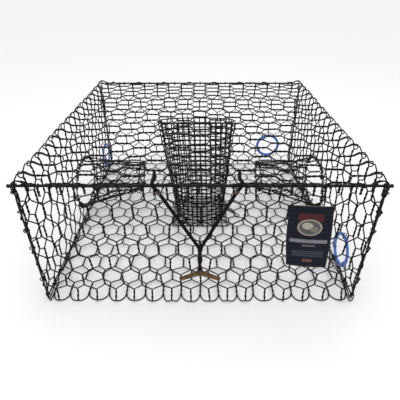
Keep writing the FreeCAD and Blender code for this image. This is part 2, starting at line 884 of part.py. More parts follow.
cord = size("cord_dia")
cord_depth = size("cord_depth")
loop_step = size("loop_step")
knot = Vector(0, -cord_depth, size("knot_height"))
loop_height = size("roof_top") + cord / 2 + 0.5
for side, crimp_x, roof_x in (
    ("left", size("crimp_left"), size("loop_left")),
    ("right", size("crimp_right"), size("loop_right")),
):
    crimp = Vector(crimp_x, -cord_depth, size("crimp_height"))
    way = (crimp - knot).normalize()
    bent_wire(
        f"closure_{side}_loop",
        [
            crimp + Vector(way.x * 6, -loop_step, 8.0),
            Vector(crimp.x + way.x * 10, -cord_depth - loop_step, loop_height),
            Vector(roof_x, -size("loop_back"), loop_height),
        ],
        size("loop_bend"),
        cord,
    )
    cord_long = (crimp - knot).Length
    feature(
        f"closure_{side}_leg",
        Part.makeCylinder(cord / 2, cord_long - 1.0, knot + way * 1.0, way),
    )
    sleeve = doc.addObject("Part::Cylinder", f"closure_{side}_sleeve")
    sleeve.setExpression("Radius", "<<sizes>>.crimp_outer")
    sleeve.setExpression("Height", "<<sizes>>.crimp_long")
    hollow = doc.addObject("Part::Cylinder", f"closure_{side}_hollow")
    hollow.setExpression("Radius", "<<sizes>>.cord_dia / 2 + 0.05")
    hollow.setExpression("Height", "<<sizes>>.crimp_long")
    ring = doc.addObject("Part::Cut", f"closure_{side}_crimp")
    ring.Base, ring.Tool = sleeve, hollow
    ring.Placement = Placement(
        crimp - way * (size("crimp_long") + 1.0), Rotation(Vector(0, 0, 1), way)
    )
    keep(ring, f"closure_{side}_crimp")
ball = doc.addObject("Part::Sphere", "closure_knot")
ball.setExpression("Radius", "<<sizes>>.knot_radius")
ball.Placement = Placement(knot, NO_TURN)
keep(ball, "closure_knot")
straight_rod(
    "closure_stem",
    "stem_dia",
    "<<sizes>>.knot_height - <<sizes>>.stem_foot",
    Vector(0, -cord_depth, size("stem_foot")),
    NO_TURN,
)


def anchor_hook(label):
    """The hook: two straight arms that fall away from a peaked middle, cut from plate."""
    body = new_body(label)
    sketch = body.newObject("Sketcher::SketchObject", f"{label}_outline")
    sketch.AttachmentSupport = [(origin_plane(body, "XZ_Plane"), "")]
    sketch.MapMode = "FlatFace"
    reach = size("hook_span") / 2
    drop = size("hook_drop")
    bar = size("hook_bar")
    outline = [
        (0, bar / 2 + 0.8), (reach, bar / 2 - drop), (reach - 1.5, -bar / 2 - drop),
        (6, -bar / 2 - 2), (-6, -bar / 2 - 2), (1.5 - reach, -bar / 2 - drop),
        (-reach, bar / 2 - drop),
    ]  # fmt: skip
    corners = [Vector(x, y, 0) for x, y in outline]
    for here, there in zip(corners, corners[1:] + corners[:1]):
        sketch.addGeometry(Part.LineSegment(here, there), False)
    pad = body.newObject("PartDesign::Pad", f"{label}_plate")
    pad.Profile = sketch
    pad.setExpression("Length", "<<sizes>>.hook_thick")
    pad.Midplane = True
    doc.recompute()
    body.Placement = Placement(
        Vector(0, -cord_depth, size("stem_foot") - bar / 2 - 0.9), NO_TURN
    )
    return keep(body, label)


anchor_hook("closure_hook")

# ---------------------------------------------------------------- hang tag


def hang_tag(label):
    """A thin card with a hole near its top for the tie."""
    body = new_body(label)
    sketch = body.newObject("Sketcher::SketchObject", f"{label}_outline")
    sketch.AttachmentSupport = [(origin_plane(body, "XZ_Plane"), "")]
    sketch.MapMode = "FlatFace"
    wide, high = size("tag_wide"), size("tag_high")
    lines = rectangle(sketch, -wide / 2, -high / 2, wide / 2, high / 2)
    across_card = Sketcher.Constraint("DistanceX", lines[0], 1, lines[0], 2, wide)
    bind(sketch, (sketch.addConstraint(across_card), "wide"), "<<sizes>>.tag_wide")
    up_card = Sketcher.Constraint("DistanceY", lines[1], 1, lines[1], 2, high)
    bind(sketch, (sketch.addConstraint(up_card), "high"), "<<sizes>>.tag_high")
    sketch.addConstraint(Sketcher.Constraint("Symmetric", lines[0], 1, lines[2], 1, -1, 1))
    hole = Part.Circle(
        Vector(0, high / 2 - size("tag_hole_down"), 0), Vector(0, 0, 1), size("tag_hole_radius")
    )
    sketch.addGeometry(hole, False)
    pad = body.newObject("PartDesign::Pad", f"{label}_card")
    pad.Profile = sketch
    pad.setExpression("Length", "<<sizes>>.tag_thick")
    pad.Midplane = True
    doc.recompute()
    body.Placement = Placement(
        Vector(size("tag_x"), -size("tag_depth"), size("tag_z")),
        Rotation(Vector(0, 1, 0), size("tag_tilt")),
    )
    return keep(body, label)


hang_tag("hang_tag")
tilt = Rotation(Vector(0, 1, 0), size("tag_tilt"))
tag_middle = Vector(size("tag_x"), -size("tag_depth"), size("tag_z"))
hole_place = tag_middle + tilt.multVec(
    Vector(0, 0, size("tag_high") / 2 - size("tag_hole_down"))
)
tie_top = hole_place + Vector(0, 0, size("tag_tie_long"))
feature(
    "tag_tie",
    long_ring((hole_place + tie_top) / 2 + Vector(0, 0, 1.0), X_AXIS, Z_AXIS, 1.15, 11.6, 1.0),
)

# ---------------------------------------------------------------- checks and files

doc.recompute()
broken = [o.Label for o in doc.Objects if {"Invalid", "Error"} & set(o.State)]
if broken:
    raise RuntimeError(f"these objects failed: {broken}")
for obj in nodes:
    if obj.Shape.isNull() or not obj.Shape.isValid():
        raise RuntimeError(f"{obj.Label} has no valid shape")

os.makedirs("parts", exist_ok=True)
for obj in nodes:
    obj.Shape.exportStep(f"parts/{obj.Label}.step")
    box = obj.Shape.BoundBox
    print(
        f"{obj.Label:28s} {len(obj.Shape.Solids):3d} solids "
        f"{obj.Shape.Volume / 1000:8.2f} cm3  "
        f"x {box.XMin:7.1f} {box.XMax:7.1f}  y {box.YMin:7.1f} {box.YMax:7.1f}  "
        f"z {box.ZMin:6.1f} {box.ZMax:6.1f}"
    )
print(len(nodes), "nodes")
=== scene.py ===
import json

import bpy
import numpy as np
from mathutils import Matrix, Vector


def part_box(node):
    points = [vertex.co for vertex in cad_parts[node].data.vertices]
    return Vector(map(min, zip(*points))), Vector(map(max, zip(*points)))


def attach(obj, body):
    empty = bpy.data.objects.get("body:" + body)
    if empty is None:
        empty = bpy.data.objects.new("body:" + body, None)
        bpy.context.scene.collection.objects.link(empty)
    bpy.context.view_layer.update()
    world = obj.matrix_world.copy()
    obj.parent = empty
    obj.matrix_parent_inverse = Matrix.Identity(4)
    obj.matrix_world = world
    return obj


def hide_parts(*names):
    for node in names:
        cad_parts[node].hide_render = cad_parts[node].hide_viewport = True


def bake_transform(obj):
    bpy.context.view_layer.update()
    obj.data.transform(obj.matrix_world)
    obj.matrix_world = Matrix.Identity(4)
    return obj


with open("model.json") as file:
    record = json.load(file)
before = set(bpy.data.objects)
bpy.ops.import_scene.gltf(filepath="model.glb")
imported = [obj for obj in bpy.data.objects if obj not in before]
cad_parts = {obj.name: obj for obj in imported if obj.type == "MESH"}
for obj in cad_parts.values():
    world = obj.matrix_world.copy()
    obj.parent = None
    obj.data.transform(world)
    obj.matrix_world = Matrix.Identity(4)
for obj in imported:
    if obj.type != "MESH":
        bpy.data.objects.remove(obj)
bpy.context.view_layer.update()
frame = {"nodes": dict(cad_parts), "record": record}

# A square crab trap of hexagonal wire netting. Two strips of netting are wrapped round
# it: the lower wrap is the front, the floor and the back, and the upper wrap is the left
# side, the roof and the right side. Lengths are in metres.

rng = np.random.default_rng(24)
MM = 0.001
X, Y, Z = np.eye(3)
CELL = 37.2 * MM  # width of a cell of the netting
TWIST = 28 * MM  # length of a twisted pair
LAST = 17  # half cells from the middle of a strip to its selvedge
STRAND = 1.25 * MM  # radius of one strand, with its coat
COARSE_SIDES = 6
NEAR_WALL = 0.28  # a place further out than this is on a wall
NEAR_FLOOR = 0.02  # a place lower than this is on the floor
EDGE_WRAP = 2.5 * MM  # radius of a strand's turns round an edge wire
RIM_WRAP = 2.6 * MM  # radius of a strand's turns round the rim of an opening


def low_high(node):
    """The lowest and highest corner of a CAD node, as arrays."""
    low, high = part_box(node)
    return np.array(low), np.array(high)


def middle(node):
    """The middle of a CAD node's box."""
    return sum(low_high(node)) / 2


def unit(vectors):
    """The same directions at length 1."""
    return vectors / np.maximum(np.linalg.norm(vectors, axis=-1, keepdims=True), 1e-12)


# ---------------------------------------------------------------- surfaces


def tube(path, radius, sides=COARSE_SIDES, up=Z, closed=False):
    """A round wire along a path. Round each point of the path lies a ring of points at
    radius * (cos(turn) * across + sin(turn) * above), where across is square to the path's
    direction and to up, and above is square to both. The ends are closed by flat faces.
    Gives points, faces and, for each corner of a four-sided face, (turn, length)."""
    path = np.asarray(path, float)
    count = len(path)
    if closed:
        ahead = np.roll(path, -1, 0) - np.roll(path, 1, 0)
    else:
        ahead = np.gradient(path, axis=0)
    ahead = unit(ahead)
    across = unit(np.cross(ahead, np.broadcast_to(up, path.shape)))
    above = np.cross(across, ahead)
    turn = 2 * np.pi * np.arange(sides) / sides
    wide = np.broadcast_to(radius, (count,) if np.ndim(radius) < 2 else np.shape(radius))
    wide = wide.reshape(count, -1, 1)
    ring = np.cos(turn)[:, None] * across[:, None] + np.sin(turn)[:, None] * above[:, None]
    points = (path[:, None] + wide * ring).reshape(-1, 3)
    i = np.arange(count if closed else count - 1)[:, None]
    k = np.arange(sides)[None, :]
    here, there = i * sides, (i + 1) % count * sides
    right = (k + 1) % sides
    quads = np.stack([here + k, there + k, there + right, here + right], -1).reshape(-1, 4)
    step = np.linalg.norm(np.diff(path, axis=0, append=path[:1]), axis=1)
    length = np.concatenate([[0], np.cumsum(step)])
    low, high = length[i] + 0 * k, length[i + 1] + 0 * k
    left_turn, right_turn = k / sides + 0 * i, (k + 1) / sides + 0 * i
    corner = np.stack(
        [
            np.stack([left_turn, low], -1),
            np.stack([left_turn, high], -1),
            np.stack([right_turn, high], -1),
            np.stack([right_turn, low], -1),
        ],
        2,
    ).reshape(-1, 2)
    ends = []
    if not closed:
        first = list(range(sides))
        ends = [first, [(count - 1) * sides + n for n in reversed(first)]]
    return points, quads, ends, corner


def turned(profile, base, axis, sides=24):
    """A closed profile of (radius, height) points turned round an axis line through base."""
    profile = np.asarray(profile, float)
    count = len(profile)
    axis = unit(np.asarray(axis, float))
    side = unit(np.cross(axis, Y if abs(axis[1]) < 0.9 else X))
    other = np.cross(axis, side)
    turn = 2 * np.pi * np.arange(sides) / sides
    out = np.cos(turn)[:, None] * side + np.sin(turn)[:, None] * other
    points = base + profile[None, :, :1] * out[:, None] + profile[None, :, 1:] * axis
    i, k = np.arange(sides)[:, None], np.arange(count)[None, :]
    here, there = i * count, (i + 1) % sides * count
    up = (k + 1) % count
    quads = np.stack([here + k, there + k, there + up, here + up], -1).reshape(-1, 4)
    return points.reshape(-1, 3), quads, [], np.zeros((quads.size, 2))


def piece(name, shapes, material, body="root", stands_for=(), smooth=True):
    """One mesh made of several shapes, on a CAD body."""
    points = np.concatenate([s[0] for s in shapes])
    starts = np.cumsum([0] + [len(s[0]) for s in shapes[:-1]])
    quads = np.concatenate([s[1] + n for s, n in zip(shapes, starts)])
    ends = [[n + c for c in face] for s, n in zip(shapes, starts) for face in s[2]]
    mesh = bpy.data.meshes.new(name)
    mesh.from_pydata(points.tolist(), [], quads.tolist() + ends)
    corner = np.concatenate([s[3] for s in shapes])
    layer = mesh.uv_layers.new(name="UVMap")
    whole = np.zeros((len(mesh.loops), 2))
    whole[: len(corner)] = corner
    layer.data.foreach_set("uv", whole.ravel())
    flags = np.full(len(mesh.polygons), smooth)
    flags[len(quads) :] = False
    mesh.polygons.foreach_set("use_smooth", flags)
    mesh.materials.append(material)
    obj = bpy.data.objects.new(name, mesh)
    bpy.context.collection.objects.link(obj)
    if stands_for:
        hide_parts(*stands_for)
    if body:
        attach(obj, body)
    return obj


# ---------------------------------------------------------------- materials


def feed(tree, socket, value):
    """Link a socket to another one, or give it a value."""
    if isinstance(value, bpy.types.NodeSocket):
        tree.links.new(value, socket)
    else:
        socket.default_value = value


def reckon(tree, operation, *values, clamp=False):
    """A Math node's result."""
    node = tree.nodes.new("ShaderNodeMath")
    node.operation = operation
    node.use_clamp = clamp
    for socket, value in zip(node.inputs, values):
        feed(tree, socket, value)
    return node.outputs[0]


def blended(tree, factor, first, second):
    """Two colours mixed."""
    node = tree.nodes.new("ShaderNodeMix")
    node.data_type = "RGBA"
    for number, value in ((0, factor), (6, first), (7, second)):
        feed(tree, node.inputs[number], value)
    return node.outputs[2]


def spread(tree, value, low, high, to_low=0.0, to_high=1.0):
    """A value's range, stretched smoothly to another range."""
    node = tree.nodes.new("ShaderNodeMapRange")
    node.interpolation_type = "SMOOTHSTEP"
    for socket, number in zip(node.inputs, (value, low, high, to_low, to_high)):
        feed(tree, socket, number)
    return node.outputs[0]


def cloud(tree, where, scale, detail=3.0, rough=0.55):
    """Noise at a place."""
    node = tree.nodes.new("ShaderNodeTexNoise")
    feed(tree, node.inputs["Vector"], where)
    feed(tree, node.inputs["Scale"], scale)
    node.inputs["Detail"].default_value = detail
    node.inputs["Roughness"].default_value = rough
    return node.outputs["Fac"]


def group(name, inputs, outputs):
    """A shader node group with its named sockets."""
    tree = bpy.data.node_groups.new(name, "ShaderNodeTree")
    for label, kind, value in inputs:
        socket = tree.interface.new_socket(label, in_out="INPUT", socket_type=kind)
        socket.default_value = value
    for label, kind in outputs:
        tree.interface.new_socket(label, in_out="OUTPUT", socket_type=kind)
    source = tree.nodes.new("NodeGroupInput").outputs
    return tree, source, tree.nodes.new("NodeGroupOutput").inputs


COLOUR, NUMBER = "NodeSocketColor", "NodeSocketFloat"
FINISH = [("Colour", COLOUR), ("Roughness", NUMBER), ("Height", NUMBER)]


def coat_group():
    """A vinyl or moulded coat: patches of dry salt dust, scuffs, and a fine orange-peel."""
    tree, given, out = group(
        "worn_coat",
        [
            ("Coat", COLOUR, (0.02, 0.02, 0.02, 1)),
            ("Dust", COLOUR, (0.2, 0.19, 0.17, 1)),
            ("Amount", NUMBER, 0.3),
            ("Patch", NUMBER, 14.0),
            ("Smooth", NUMBER, 0.3),
            ("Rough", NUMBER, 0.55),
        ],
        FINISH,
    )
    place = tree.nodes.new("ShaderNodeTexCoord").outputs["Object"]
    patches = cloud(tree, place, given["Patch"], 5.0, 0.6)
    scuffs = cloud(tree, place, 260.0, 2.0)
    peel = cloud(tree, place, 1400.0, 2.0)
    dusty = reckon(
        tree, "MULTIPLY", spread(tree, patches, 0.45, 0.75), spread(tree, scuffs, 0.35, 0.7)
    )
    dusty = reckon(tree, "MULTIPLY", dusty, given["Amount"], clamp=True)
    feed(tree, out["Colour"], blended(tree, dusty, given["Coat"], given["Dust"]))
    gloss = reckon(
        tree, "ADD", reckon(tree, "MULTIPLY", scuffs, 0.6), reckon(tree, "MULTIPLY", dusty, 0.8)
    )
    feed(tree, out["Roughness"], spread(tree, gloss, 0.1, 0.8, given["Smooth"], given["Rough"]))
    feed(tree, out["Height"], reckon(tree, "ADD", reckon(tree, "MULTIPLY", peel, 0.5), scuffs))
    return tree


def metal_group():
    """Bare metal: a tarnish that gathers in patches, fine scratches and casting grain."""
    tree, given, out = group(
        "tarnished_metal",
        [
            ("Metal", COLOUR, (0.4, 0.4, 0.4, 1)),
            ("Tarnish", COLOUR, (0.1, 0.08, 0.05, 1)),
            ("Amount", NUMBER, 0.6),
            ("Patch", NUMBER, 90.0),
            ("Smooth", NUMBER, 0.28),
            ("Rough", NUMBER, 0.6),
        ],
        FINISH,
    )
    place = tree.nodes.new("ShaderNodeTexCoord").outputs["Object"]
    patches = cloud(tree, place, given["Patch"], 6.0, 0.65)
    grain = cloud(tree, place, 1100.0, 3.0)
    dull = reckon(tree, "MULTIPLY", spread(tree, patches, 0.35, 0.65), given["Amount"], clamp=True)
    feed(tree, out["Colour"], blended(tree, dull, given["Metal"], given["Tarnish"]))
    uneven = reckon(
        tree, "ADD", reckon(tree, "MULTIPLY", dull, 0.7), reckon(tree, "MULTIPLY", grain, 0.3)
    )
    feed(tree, out["Roughness"], spread(tree, uneven, 0.0, 0.9, given["Smooth"], given["Rough"]))
    feed(tree, out["Height"], reckon(tree, "ADD", grain, reckon(tree, "MULTIPLY", patches, 0.8)))
    return tree


def braid_group():
    """A braided sleeve: two sets of slanting ribs that pass over each other, with fuzz."""
    tree, given, out = group(
        "braided_sleeve",
        [
            ("Yarn", COLOUR, (0.02, 0.02, 0.02, 1)),
            ("Fleck", COLOUR, (0.06, 0.06, 0.06, 1)),
            ("Ribs", NUMBER, 8.0),
            ("Slant", NUMBER, 300.0),
        ],
        FINISH,
    )
    source = tree.nodes.new("ShaderNodeTexCoord").outputs
    split = tree.nodes.new("ShaderNodeSeparateXYZ")
    feed(tree, split.inputs[0], source["UV"])
    round_it = reckon(tree, "MULTIPLY", split.outputs[0], given["Ribs"])
    along = reckon(tree, "MULTIPLY", split.outputs[1], given["Slant"])
    full = 2 * np.pi
    ribs = []
    for way in ("ADD", "SUBTRACT"):
        angle = reckon(tree, "MULTIPLY", reckon(tree, way, round_it, along), full)
        ribs.append(reckon(tree, "SINE", angle))
    woven = reckon(tree, "MULTIPLY", ribs[0], ribs[1])
    fuzz = cloud(tree, source["Object"], 2600.0, 3.0)
    high = spread(tree, woven, -1.0, 1.0)
    feed(tree, out["Height"], reckon(tree, "ADD", high, reckon(tree, "MULTIPLY", fuzz, 0.4)))
    tinted = reckon(tree, "MULTIPLY", high, fuzz)
    feed(tree, out["Colour"], blended(tree, tinted, given["Yarn"], given["Fleck"]))
    feed(tree, out["Roughness"], spread(tree, fuzz, 0.2, 0.8, 0.7, 0.95))
    return tree


def finish(name, tree_of_group, bump, metallic=0.0, coat=0.0, sheen=0.0, shine=0.5, **values):
    """A Principled material whose colour, roughness and bump come from one group."""
    material = bpy.data.materials.new(name)
    material.use_nodes = True
    tree = material.node_tree
    shader = tree.nodes["Principled BSDF"]
    effect = tree.nodes.new("ShaderNodeGroup")
    effect.node_tree = tree_of_group
    for label, value in values.items():
        effect.inputs[label].default_value = value
    lift = tree.nodes.new("ShaderNodeBump")
    lift.inputs["Strength"].default_value = 0.5
    lift.inputs["Distance"].default_value = bump
    tree.links.new(effect.outputs["Height"], lift.inputs["Height"])
    tree.links.new(lift.outputs["Normal"], shader.inputs["Normal"])
    tree.links.new(effect.outputs["Colour"], shader.inputs["Base Color"])
    tree.links.new(effect.outputs["Roughness"], shader.inputs["Roughness"])
    shader.inputs["Metallic"].default_value = metallic
    shader.inputs["Coat Weight"].default_value = coat
    shader.inputs["Sheen Weight"].default_value = sheen
    shader.inputs["Specular IOR Level"].default_value = shine
    return material


coat, metal, braid = coat_group(), metal_group(), braid_group()
NETTING = finish(
    "black_vinyl_netting", coat, 0.1 * MM, shine=0.12, Coat=(0.004, 0.004, 0.0045, 1),
    Dust=(0.045, 0.042, 0.038, 1), Amount=0.22, Patch=11.0, Smooth=0.34, Rough=0.6,
)  # fmt: skip
WIRE = finish(
    "black_vinyl_wire", coat, 0.1 * MM, shine=0.14, Coat=(0.005, 0.005, 0.0055, 1),
    Dust=(0.06, 0.055, 0.05, 1), Amount=0.3, Patch=17.0, Smooth=0.3, Rough=0.55,
)  # fmt: skip
MESH = finish(
    "black_vinyl_square_mesh", coat, 0.1 * MM, shine=0.1, Coat=(0.0035, 0.0035, 0.004, 1),
    Dust=(0.04, 0.037, 0.034, 1), Amount=0.2, Patch=23.0, Smooth=0.36, Rough=0.62,
)  # fmt: skip
TIE = finish(
    "black_tie", coat, 0.05 * MM, Coat=(0.016, 0.016, 0.018, 1),
    Dust=(0.1, 0.1, 0.1, 1), Amount=0.25, Patch=60.0, Smooth=0.35, Rough=0.5,
)  # fmt: skip
RING_BLUE = finish(
    "blue_ring_plastic", coat, 0.08 * MM, coat=0.15, Coat=(0.035, 0.13, 0.5, 1),
    Dust=(0.3, 0.42, 0.7, 1), Amount=0.35, Patch=40.0, Smooth=0.28, Rough=0.5,
)  # fmt: skip
STEEL = finish(
    "hog_ring_steel", metal, 0.06 * MM, metallic=1.0, Metal=(0.11, 0.11, 0.115, 1),
    Tarnish=(0.02, 0.019, 0.018, 1), Amount=1.0, Patch=130.0, Smooth=0.3, Rough=0.6,
)  # fmt: skip
BRIGHT = finish(
    "hook_steel", metal, 0.05 * MM, metallic=1.0, Metal=(0.08, 0.08, 0.085, 1),
    Tarnish=(0.02, 0.019, 0.018, 1), Amount=0.6, Patch=160.0, Smooth=0.2, Rough=0.5,
)  # fmt: skip
BRONZE = finish(
    "cast_bronze", metal, 0.25 * MM, metallic=0.8, Metal=(0.15, 0.092, 0.038, 1),
    Tarnish=(0.03, 0.02, 0.01, 1), Amount=0.9, Patch=85.0, Smooth=0.36, Rough=0.62,
)  # fmt: skip
# Crimp sleeves: near-black, with small patches of bare copper colour that are painted glints.
COPPER_PAINTED_GLINTS = finish(
    "crimp_copper_painted_glints", metal, 0.08 * MM, metallic=0.5, Metal=(0.15, 0.075, 0.04, 1),
    Tarnish=(0.006, 0.005, 0.005, 1), Amount=1.0, Patch=190.0, Smooth=0.24, Rough=0.5,
)  # fmt: skip
CORD = finish(
    "braided_shock_cord", braid, 0.3 * MM, shine=0.08, Yarn=(0.0035, 0.0035, 0.004, 1),
    Fleck=(0.016, 0.016, 0.018, 1), Ribs=6.0, Slant=190.0,
)  # fmt: skip
SLOT_FINISH = {
    "netting": NETTING, "wire": WIRE, "hog_ring": STEEL, "square_mesh": MESH,
    "shock_cord": CORD, "steel_hook": BRIGHT, "ring_plastic": RING_BLUE, "tie": TIE,
    "bronze": BRONZE,
}  # fmt: skip
for part in frame["record"]["subparts"]:
    if part["material_slot"] in SLOT_FINISH:
        data = frame["nodes"][part["node"]].data
        data.materials.clear()
        data.materials.append(SLOT_FINISH[part["material_slot"]])

# ---------------------------------------------------------------- camera


camera = bpy.data.objects.new("camera", bpy.data.cameras.new("camera"))
camera.data.lens = 32
camera.location = (0, -0.795, 0.554)
camera.rotation_euler = (np.radians(57.28), 0, 0)
bpy.context.collection.objects.link(camera)
bpy.context.scene.camera = camera

# ---------------------------------------------------------------- closure cords


def along_route(points):
    """The line of a smooth NURBS spline whose control points are the route's points."""
    curve = bpy.data.curves.new("route", "CURVE")
    curve.dimensions = "3D"
    spline = curve.splines.new("NURBS")
    spline.points.add(len(points) - 1)
    spline.points.foreach_set("co", np.c_[points, np.ones(len(points))].ravel())
    spline.order_u = 3
    spline.use_endpoint_u = True
    curve.resolution_u = 12
    holder = bpy.data.objects.new("route", curve)
    mesh = bpy.data.meshes.new_from_object(holder)
    line = np.empty(len(mesh.vertices) * 3)
    mesh.vertices.foreach_get("co", line)
    bpy.data.objects.remove(holder)
    bpy.data.meshes.remove(mesh)
    return line.reshape(-1, 3)


def evenly(line, step):
    """Points a given step apart along a line."""
    far = np.concatenate([[0], np.cumsum(np.linalg.norm(np.diff(line, axis=0), axis=1))])
    at = np.linspace(0, far[-1], max(2, int(np.ceil(far[-1] / step)) + 1))
    return np.stack([np.interp(at, far, line[:, n]) for n in range(3)], 1)


def braided(line, radius, up, ribs=6, slant=190.0, sides=24):
    """A braided cord: a tube whose radius swells where the slanting ribs of its sleeve
    cross, by sin(ribs*turn + slant*length) * sin(ribs*turn - slant*length)."""
    step = 1.2 * MM
    path = evenly(line, step)
    length = np.arange(len(path))[:, None] * step
    turn = np.arange(sides)[None, :] / sides
    full = 2 * np.pi
    one_way = np.sin(full * (ribs * turn + slant * length))
    swell = one_way * np.sin(full * (ribs * turn - slant * length))
    return tube(path, radius * (1 + 0.035 * swell), sides, up)


knot = middle("closure_knot")
roof_top = low_high("roof_flap_netting")[1][2]
stem_foot = low_high("closure_stem")[0][2]
CORD_R = 3.0 * MM
FRONT = np.array([0, -1, 0])
LEG_START = 1.5 * MM  # from the knot's middle
CRIMP_UP = 5.5 * MM  # from the CAD crimp, along its cord
CRIMP_HALF = 3.5 * MM
LOOP_ENDS = {"left": -75 * MM, "right": 65 * MM}  # along X, on the roof
LOOP_END_Y = -283 * MM
LOOP_MIDWAY_Y = -298 * MM
LOOP_RISE_Z = 268 * MM  # where a loop comes up in front of the rod
EYE_R, EYE_WIRE = 6.2 * MM, 2.4 * MM


def crimp_section(outer):
    """A crimp's section as (radius, height): the bore round the cord, and an outside that
    waves by 0.28 mm * cos(3 pi * share of the half length)."""
    bore = CORD_R + 0.1 * MM
    section = [(bore, -CRIMP_HALF), (outer, -CRIMP_HALF)]
    for share in np.linspace(-1, 1, 15)[1:-1]:
        section.append((outer + 0.28 * MM * np.cos(3 * np.pi * share), share * CRIMP_HALF))
    return section + [(outer, CRIMP_HALF), (bore, CRIMP_HALF)]


def roof_loop(side, crimp, way, end_x):
    """A cord that goes on from the crimp over the rod to the roof, and the small closed eye
    that it ends in."""
    over = roof_top + CORD_R + 0.5 * MM
    route = np.array(
        [
            crimp + way * 3 * MM,
            [crimp[0] + way[0] * 14 * MM, knot[1] - 2.2 * MM, LOOP_RISE_Z],
            [crimp[0] + way[0] * 20 * MM, knot[1] - 1.2 * MM, over + 1.5 * MM],
            [(crimp[0] + end_x) / 2, LOOP_MIDWAY_Y, over + 1.0 * MM],
            [end_x, LOOP_END_Y, over],
        ]
    )
    turn = np.linspace(0, 2 * np.pi, 33)[:-1, None]
    eye_middle = np.array([end_x, LOOP_END_Y, roof_top - 0.5 * MM])
    eye = eye_middle + EYE_R * (np.cos(turn) * Z + np.sin(turn) * Y)
    piece(
        f"closure_{side}_roof_loop",
        [braided(along_route(route), CORD_R, X), tube(eye, EYE_WIRE, 12, X, closed=True)],
        CORD, "flap", [f"closure_{side}_loop"],
    )  # fmt: skip


def closure_side(side, end_x):
    """One cord leg from the knot, its crimp and its loop over the rod."""
    crimp_low, crimp_high = low_high(f"closure_{side}_crimp")
    way = unit((crimp_low + crimp_high) / 2 - knot)
    crimp = (crimp_low + crimp_high) / 2 + way * CRIMP_UP
    top = crimp + way * 4.5 * MM
    leg_route = [knot + way * LEG_START, top]
    leg = piece(
        f"closure_{side}_leg_cord", [braided(np.array(leg_route), CORD_R, FRONT)], CORD,
        "closure", [f"closure_{side}_leg"],
    )  # fmt: skip
    roof_loop(side, crimp, way, end_x)
    section = crimp_section((crimp_high - crimp_low)[1] / 2)
    # The sleeve's small copper patches are painted glints.
    piece(
        f"closure_{side}_crimp_sleeve", [turned(section, crimp, way, 32)], COPPER_PAINTED_GLINTS,
        "closure", [f"closure_{side}_crimp"],
    )  # fmt: skip


for side, end_x in LOOP_ENDS.items():
    closure_side(side, end_x)

stem_line = np.array([knot, [knot[0], knot[1], stem_foot]])
pair = []
for side in (-1, 1):
    drop = np.linspace(0, 1, 40)[:, None]
    angle = drop * 2.2 * np.pi + (side > 0) * np.pi
    twist_line = stem_line[0] + drop * (stem_line[1] - stem_line[0])
    twist_line = twist_line + 2.1 * MM * (np.cos(angle) * X + np.sin(angle) * Y)
    pair.append(braided(twist_line, 2.5 * MM, FRONT, ribs=4, sides=16))
piece("closure_doubled_cord", pair, CORD, "closure", ["closure_stem"])
lap = np.linspace(0, 2 * np.pi, 121)[:-1, None]
knot_line = knot + 1.05 * MM * np.hstack(
    [
        np.sin(lap) + 2 * np.sin(2 * lap),
        0.9 * -np.sin(3 * lap),
        np.cos(lap) - 2 * np.cos(2 * lap),
    ]
)
piece(
    "closure_knot_turns", [tube(knot_line, 2.3 * MM, 12, FRONT, closed=True)], CORD,
    "closure", ["closure_knot"],
)  # fmt: skip

# ---------------------------------------------------------------- bronze hook

hook_low, hook_high = low_high("closure_hook")
hook_mid = (hook_low + hook_high) / 2
reach = (hook_high - hook_low)[0] / 2


def hook_bar():
    """Both arms as one bar. Its middle line is a rounded peak that falls to the tips:
    height = peak - drop * softened |x|. Its section is an oval that thins to the tips."""
    x = np.linspace(-1, 1, 81)[:, None]
    soft = np.sqrt(x**2 + 0.004) - np.sqrt(0.004)
    fall = 16 * MM * soft / soft.max()
    rise = hook_high[2] - 4.6 * MM - fall
    line = np.hstack([x * (reach - 1.6 * MM), 0 * x + hook_mid[1], rise])
    turn = 2 * np.pi * np.arange(16) / 16
    tip = np.clip((1 - np.abs(x)) / 0.05, 0, 1)
    blunt = np.sqrt(np.clip(1 - (1 - tip) ** 2, 0.02, 1))
    high = (5.8 - 1.5 * np.abs(x)) * MM * blunt
    deep = (3.5 - 0.7 * np.abs(x)) * MM * blunt
    high = high + 1.3 * MM * np.exp(-((x / 0.09) ** 2))
    deep = deep + 1.4 * MM * np.exp(-((x / 0.09) ** 2))
    points, quads, ends, corner = tube(line, 1.0, 16, FRONT)
    out = points.reshape(81, 16, 3) - line[:, None]
    round_out = 1 / np.sqrt((np.cos(turn) / high) ** 2 + (np.sin(turn) / deep) ** 2)
    return (line[:, None] + out * round_out[..., None]).reshape(-1, 3), quads, ends, corner


collar = [(2.6, -4), (5.0, -4), (5.6, -2.5), (5.4, 1.0), (4.7, 3.2), (3.9, 4.2), (2.6, 4.2)]
collar_base = np.array([hook_mid[0], hook_mid[1], stem_foot + 0.5 * MM])
piece(
    "anchor_shaped_hook",
    [hook_bar(), turned(np.array(collar) * MM, collar_base, Z, 28)],
    BRONZE, "closure", ["closure_hook"],
)  # fmt: skip

# ---------------------------------------------------------------- netting

front_plane = middle("front_netting")[1]
side_plane = middle("right_netting")[0]
roof_level = middle("roof_rear_netting")[2]
floor_level = middle("floor_netting")[2]
selvedge_at = middle("upper_back_selvedge")[1]
rod_low, rod_high = low_high("front_rod")
rod = (rod_low + rod_high) / 2
rod_r = (rod_high - rod_low)[2] / 2
EDGE_R = 1.3 * MM
ROD_WRAP = rod_r + 0.7 * STRAND  # radius of a strand's turns round the rod


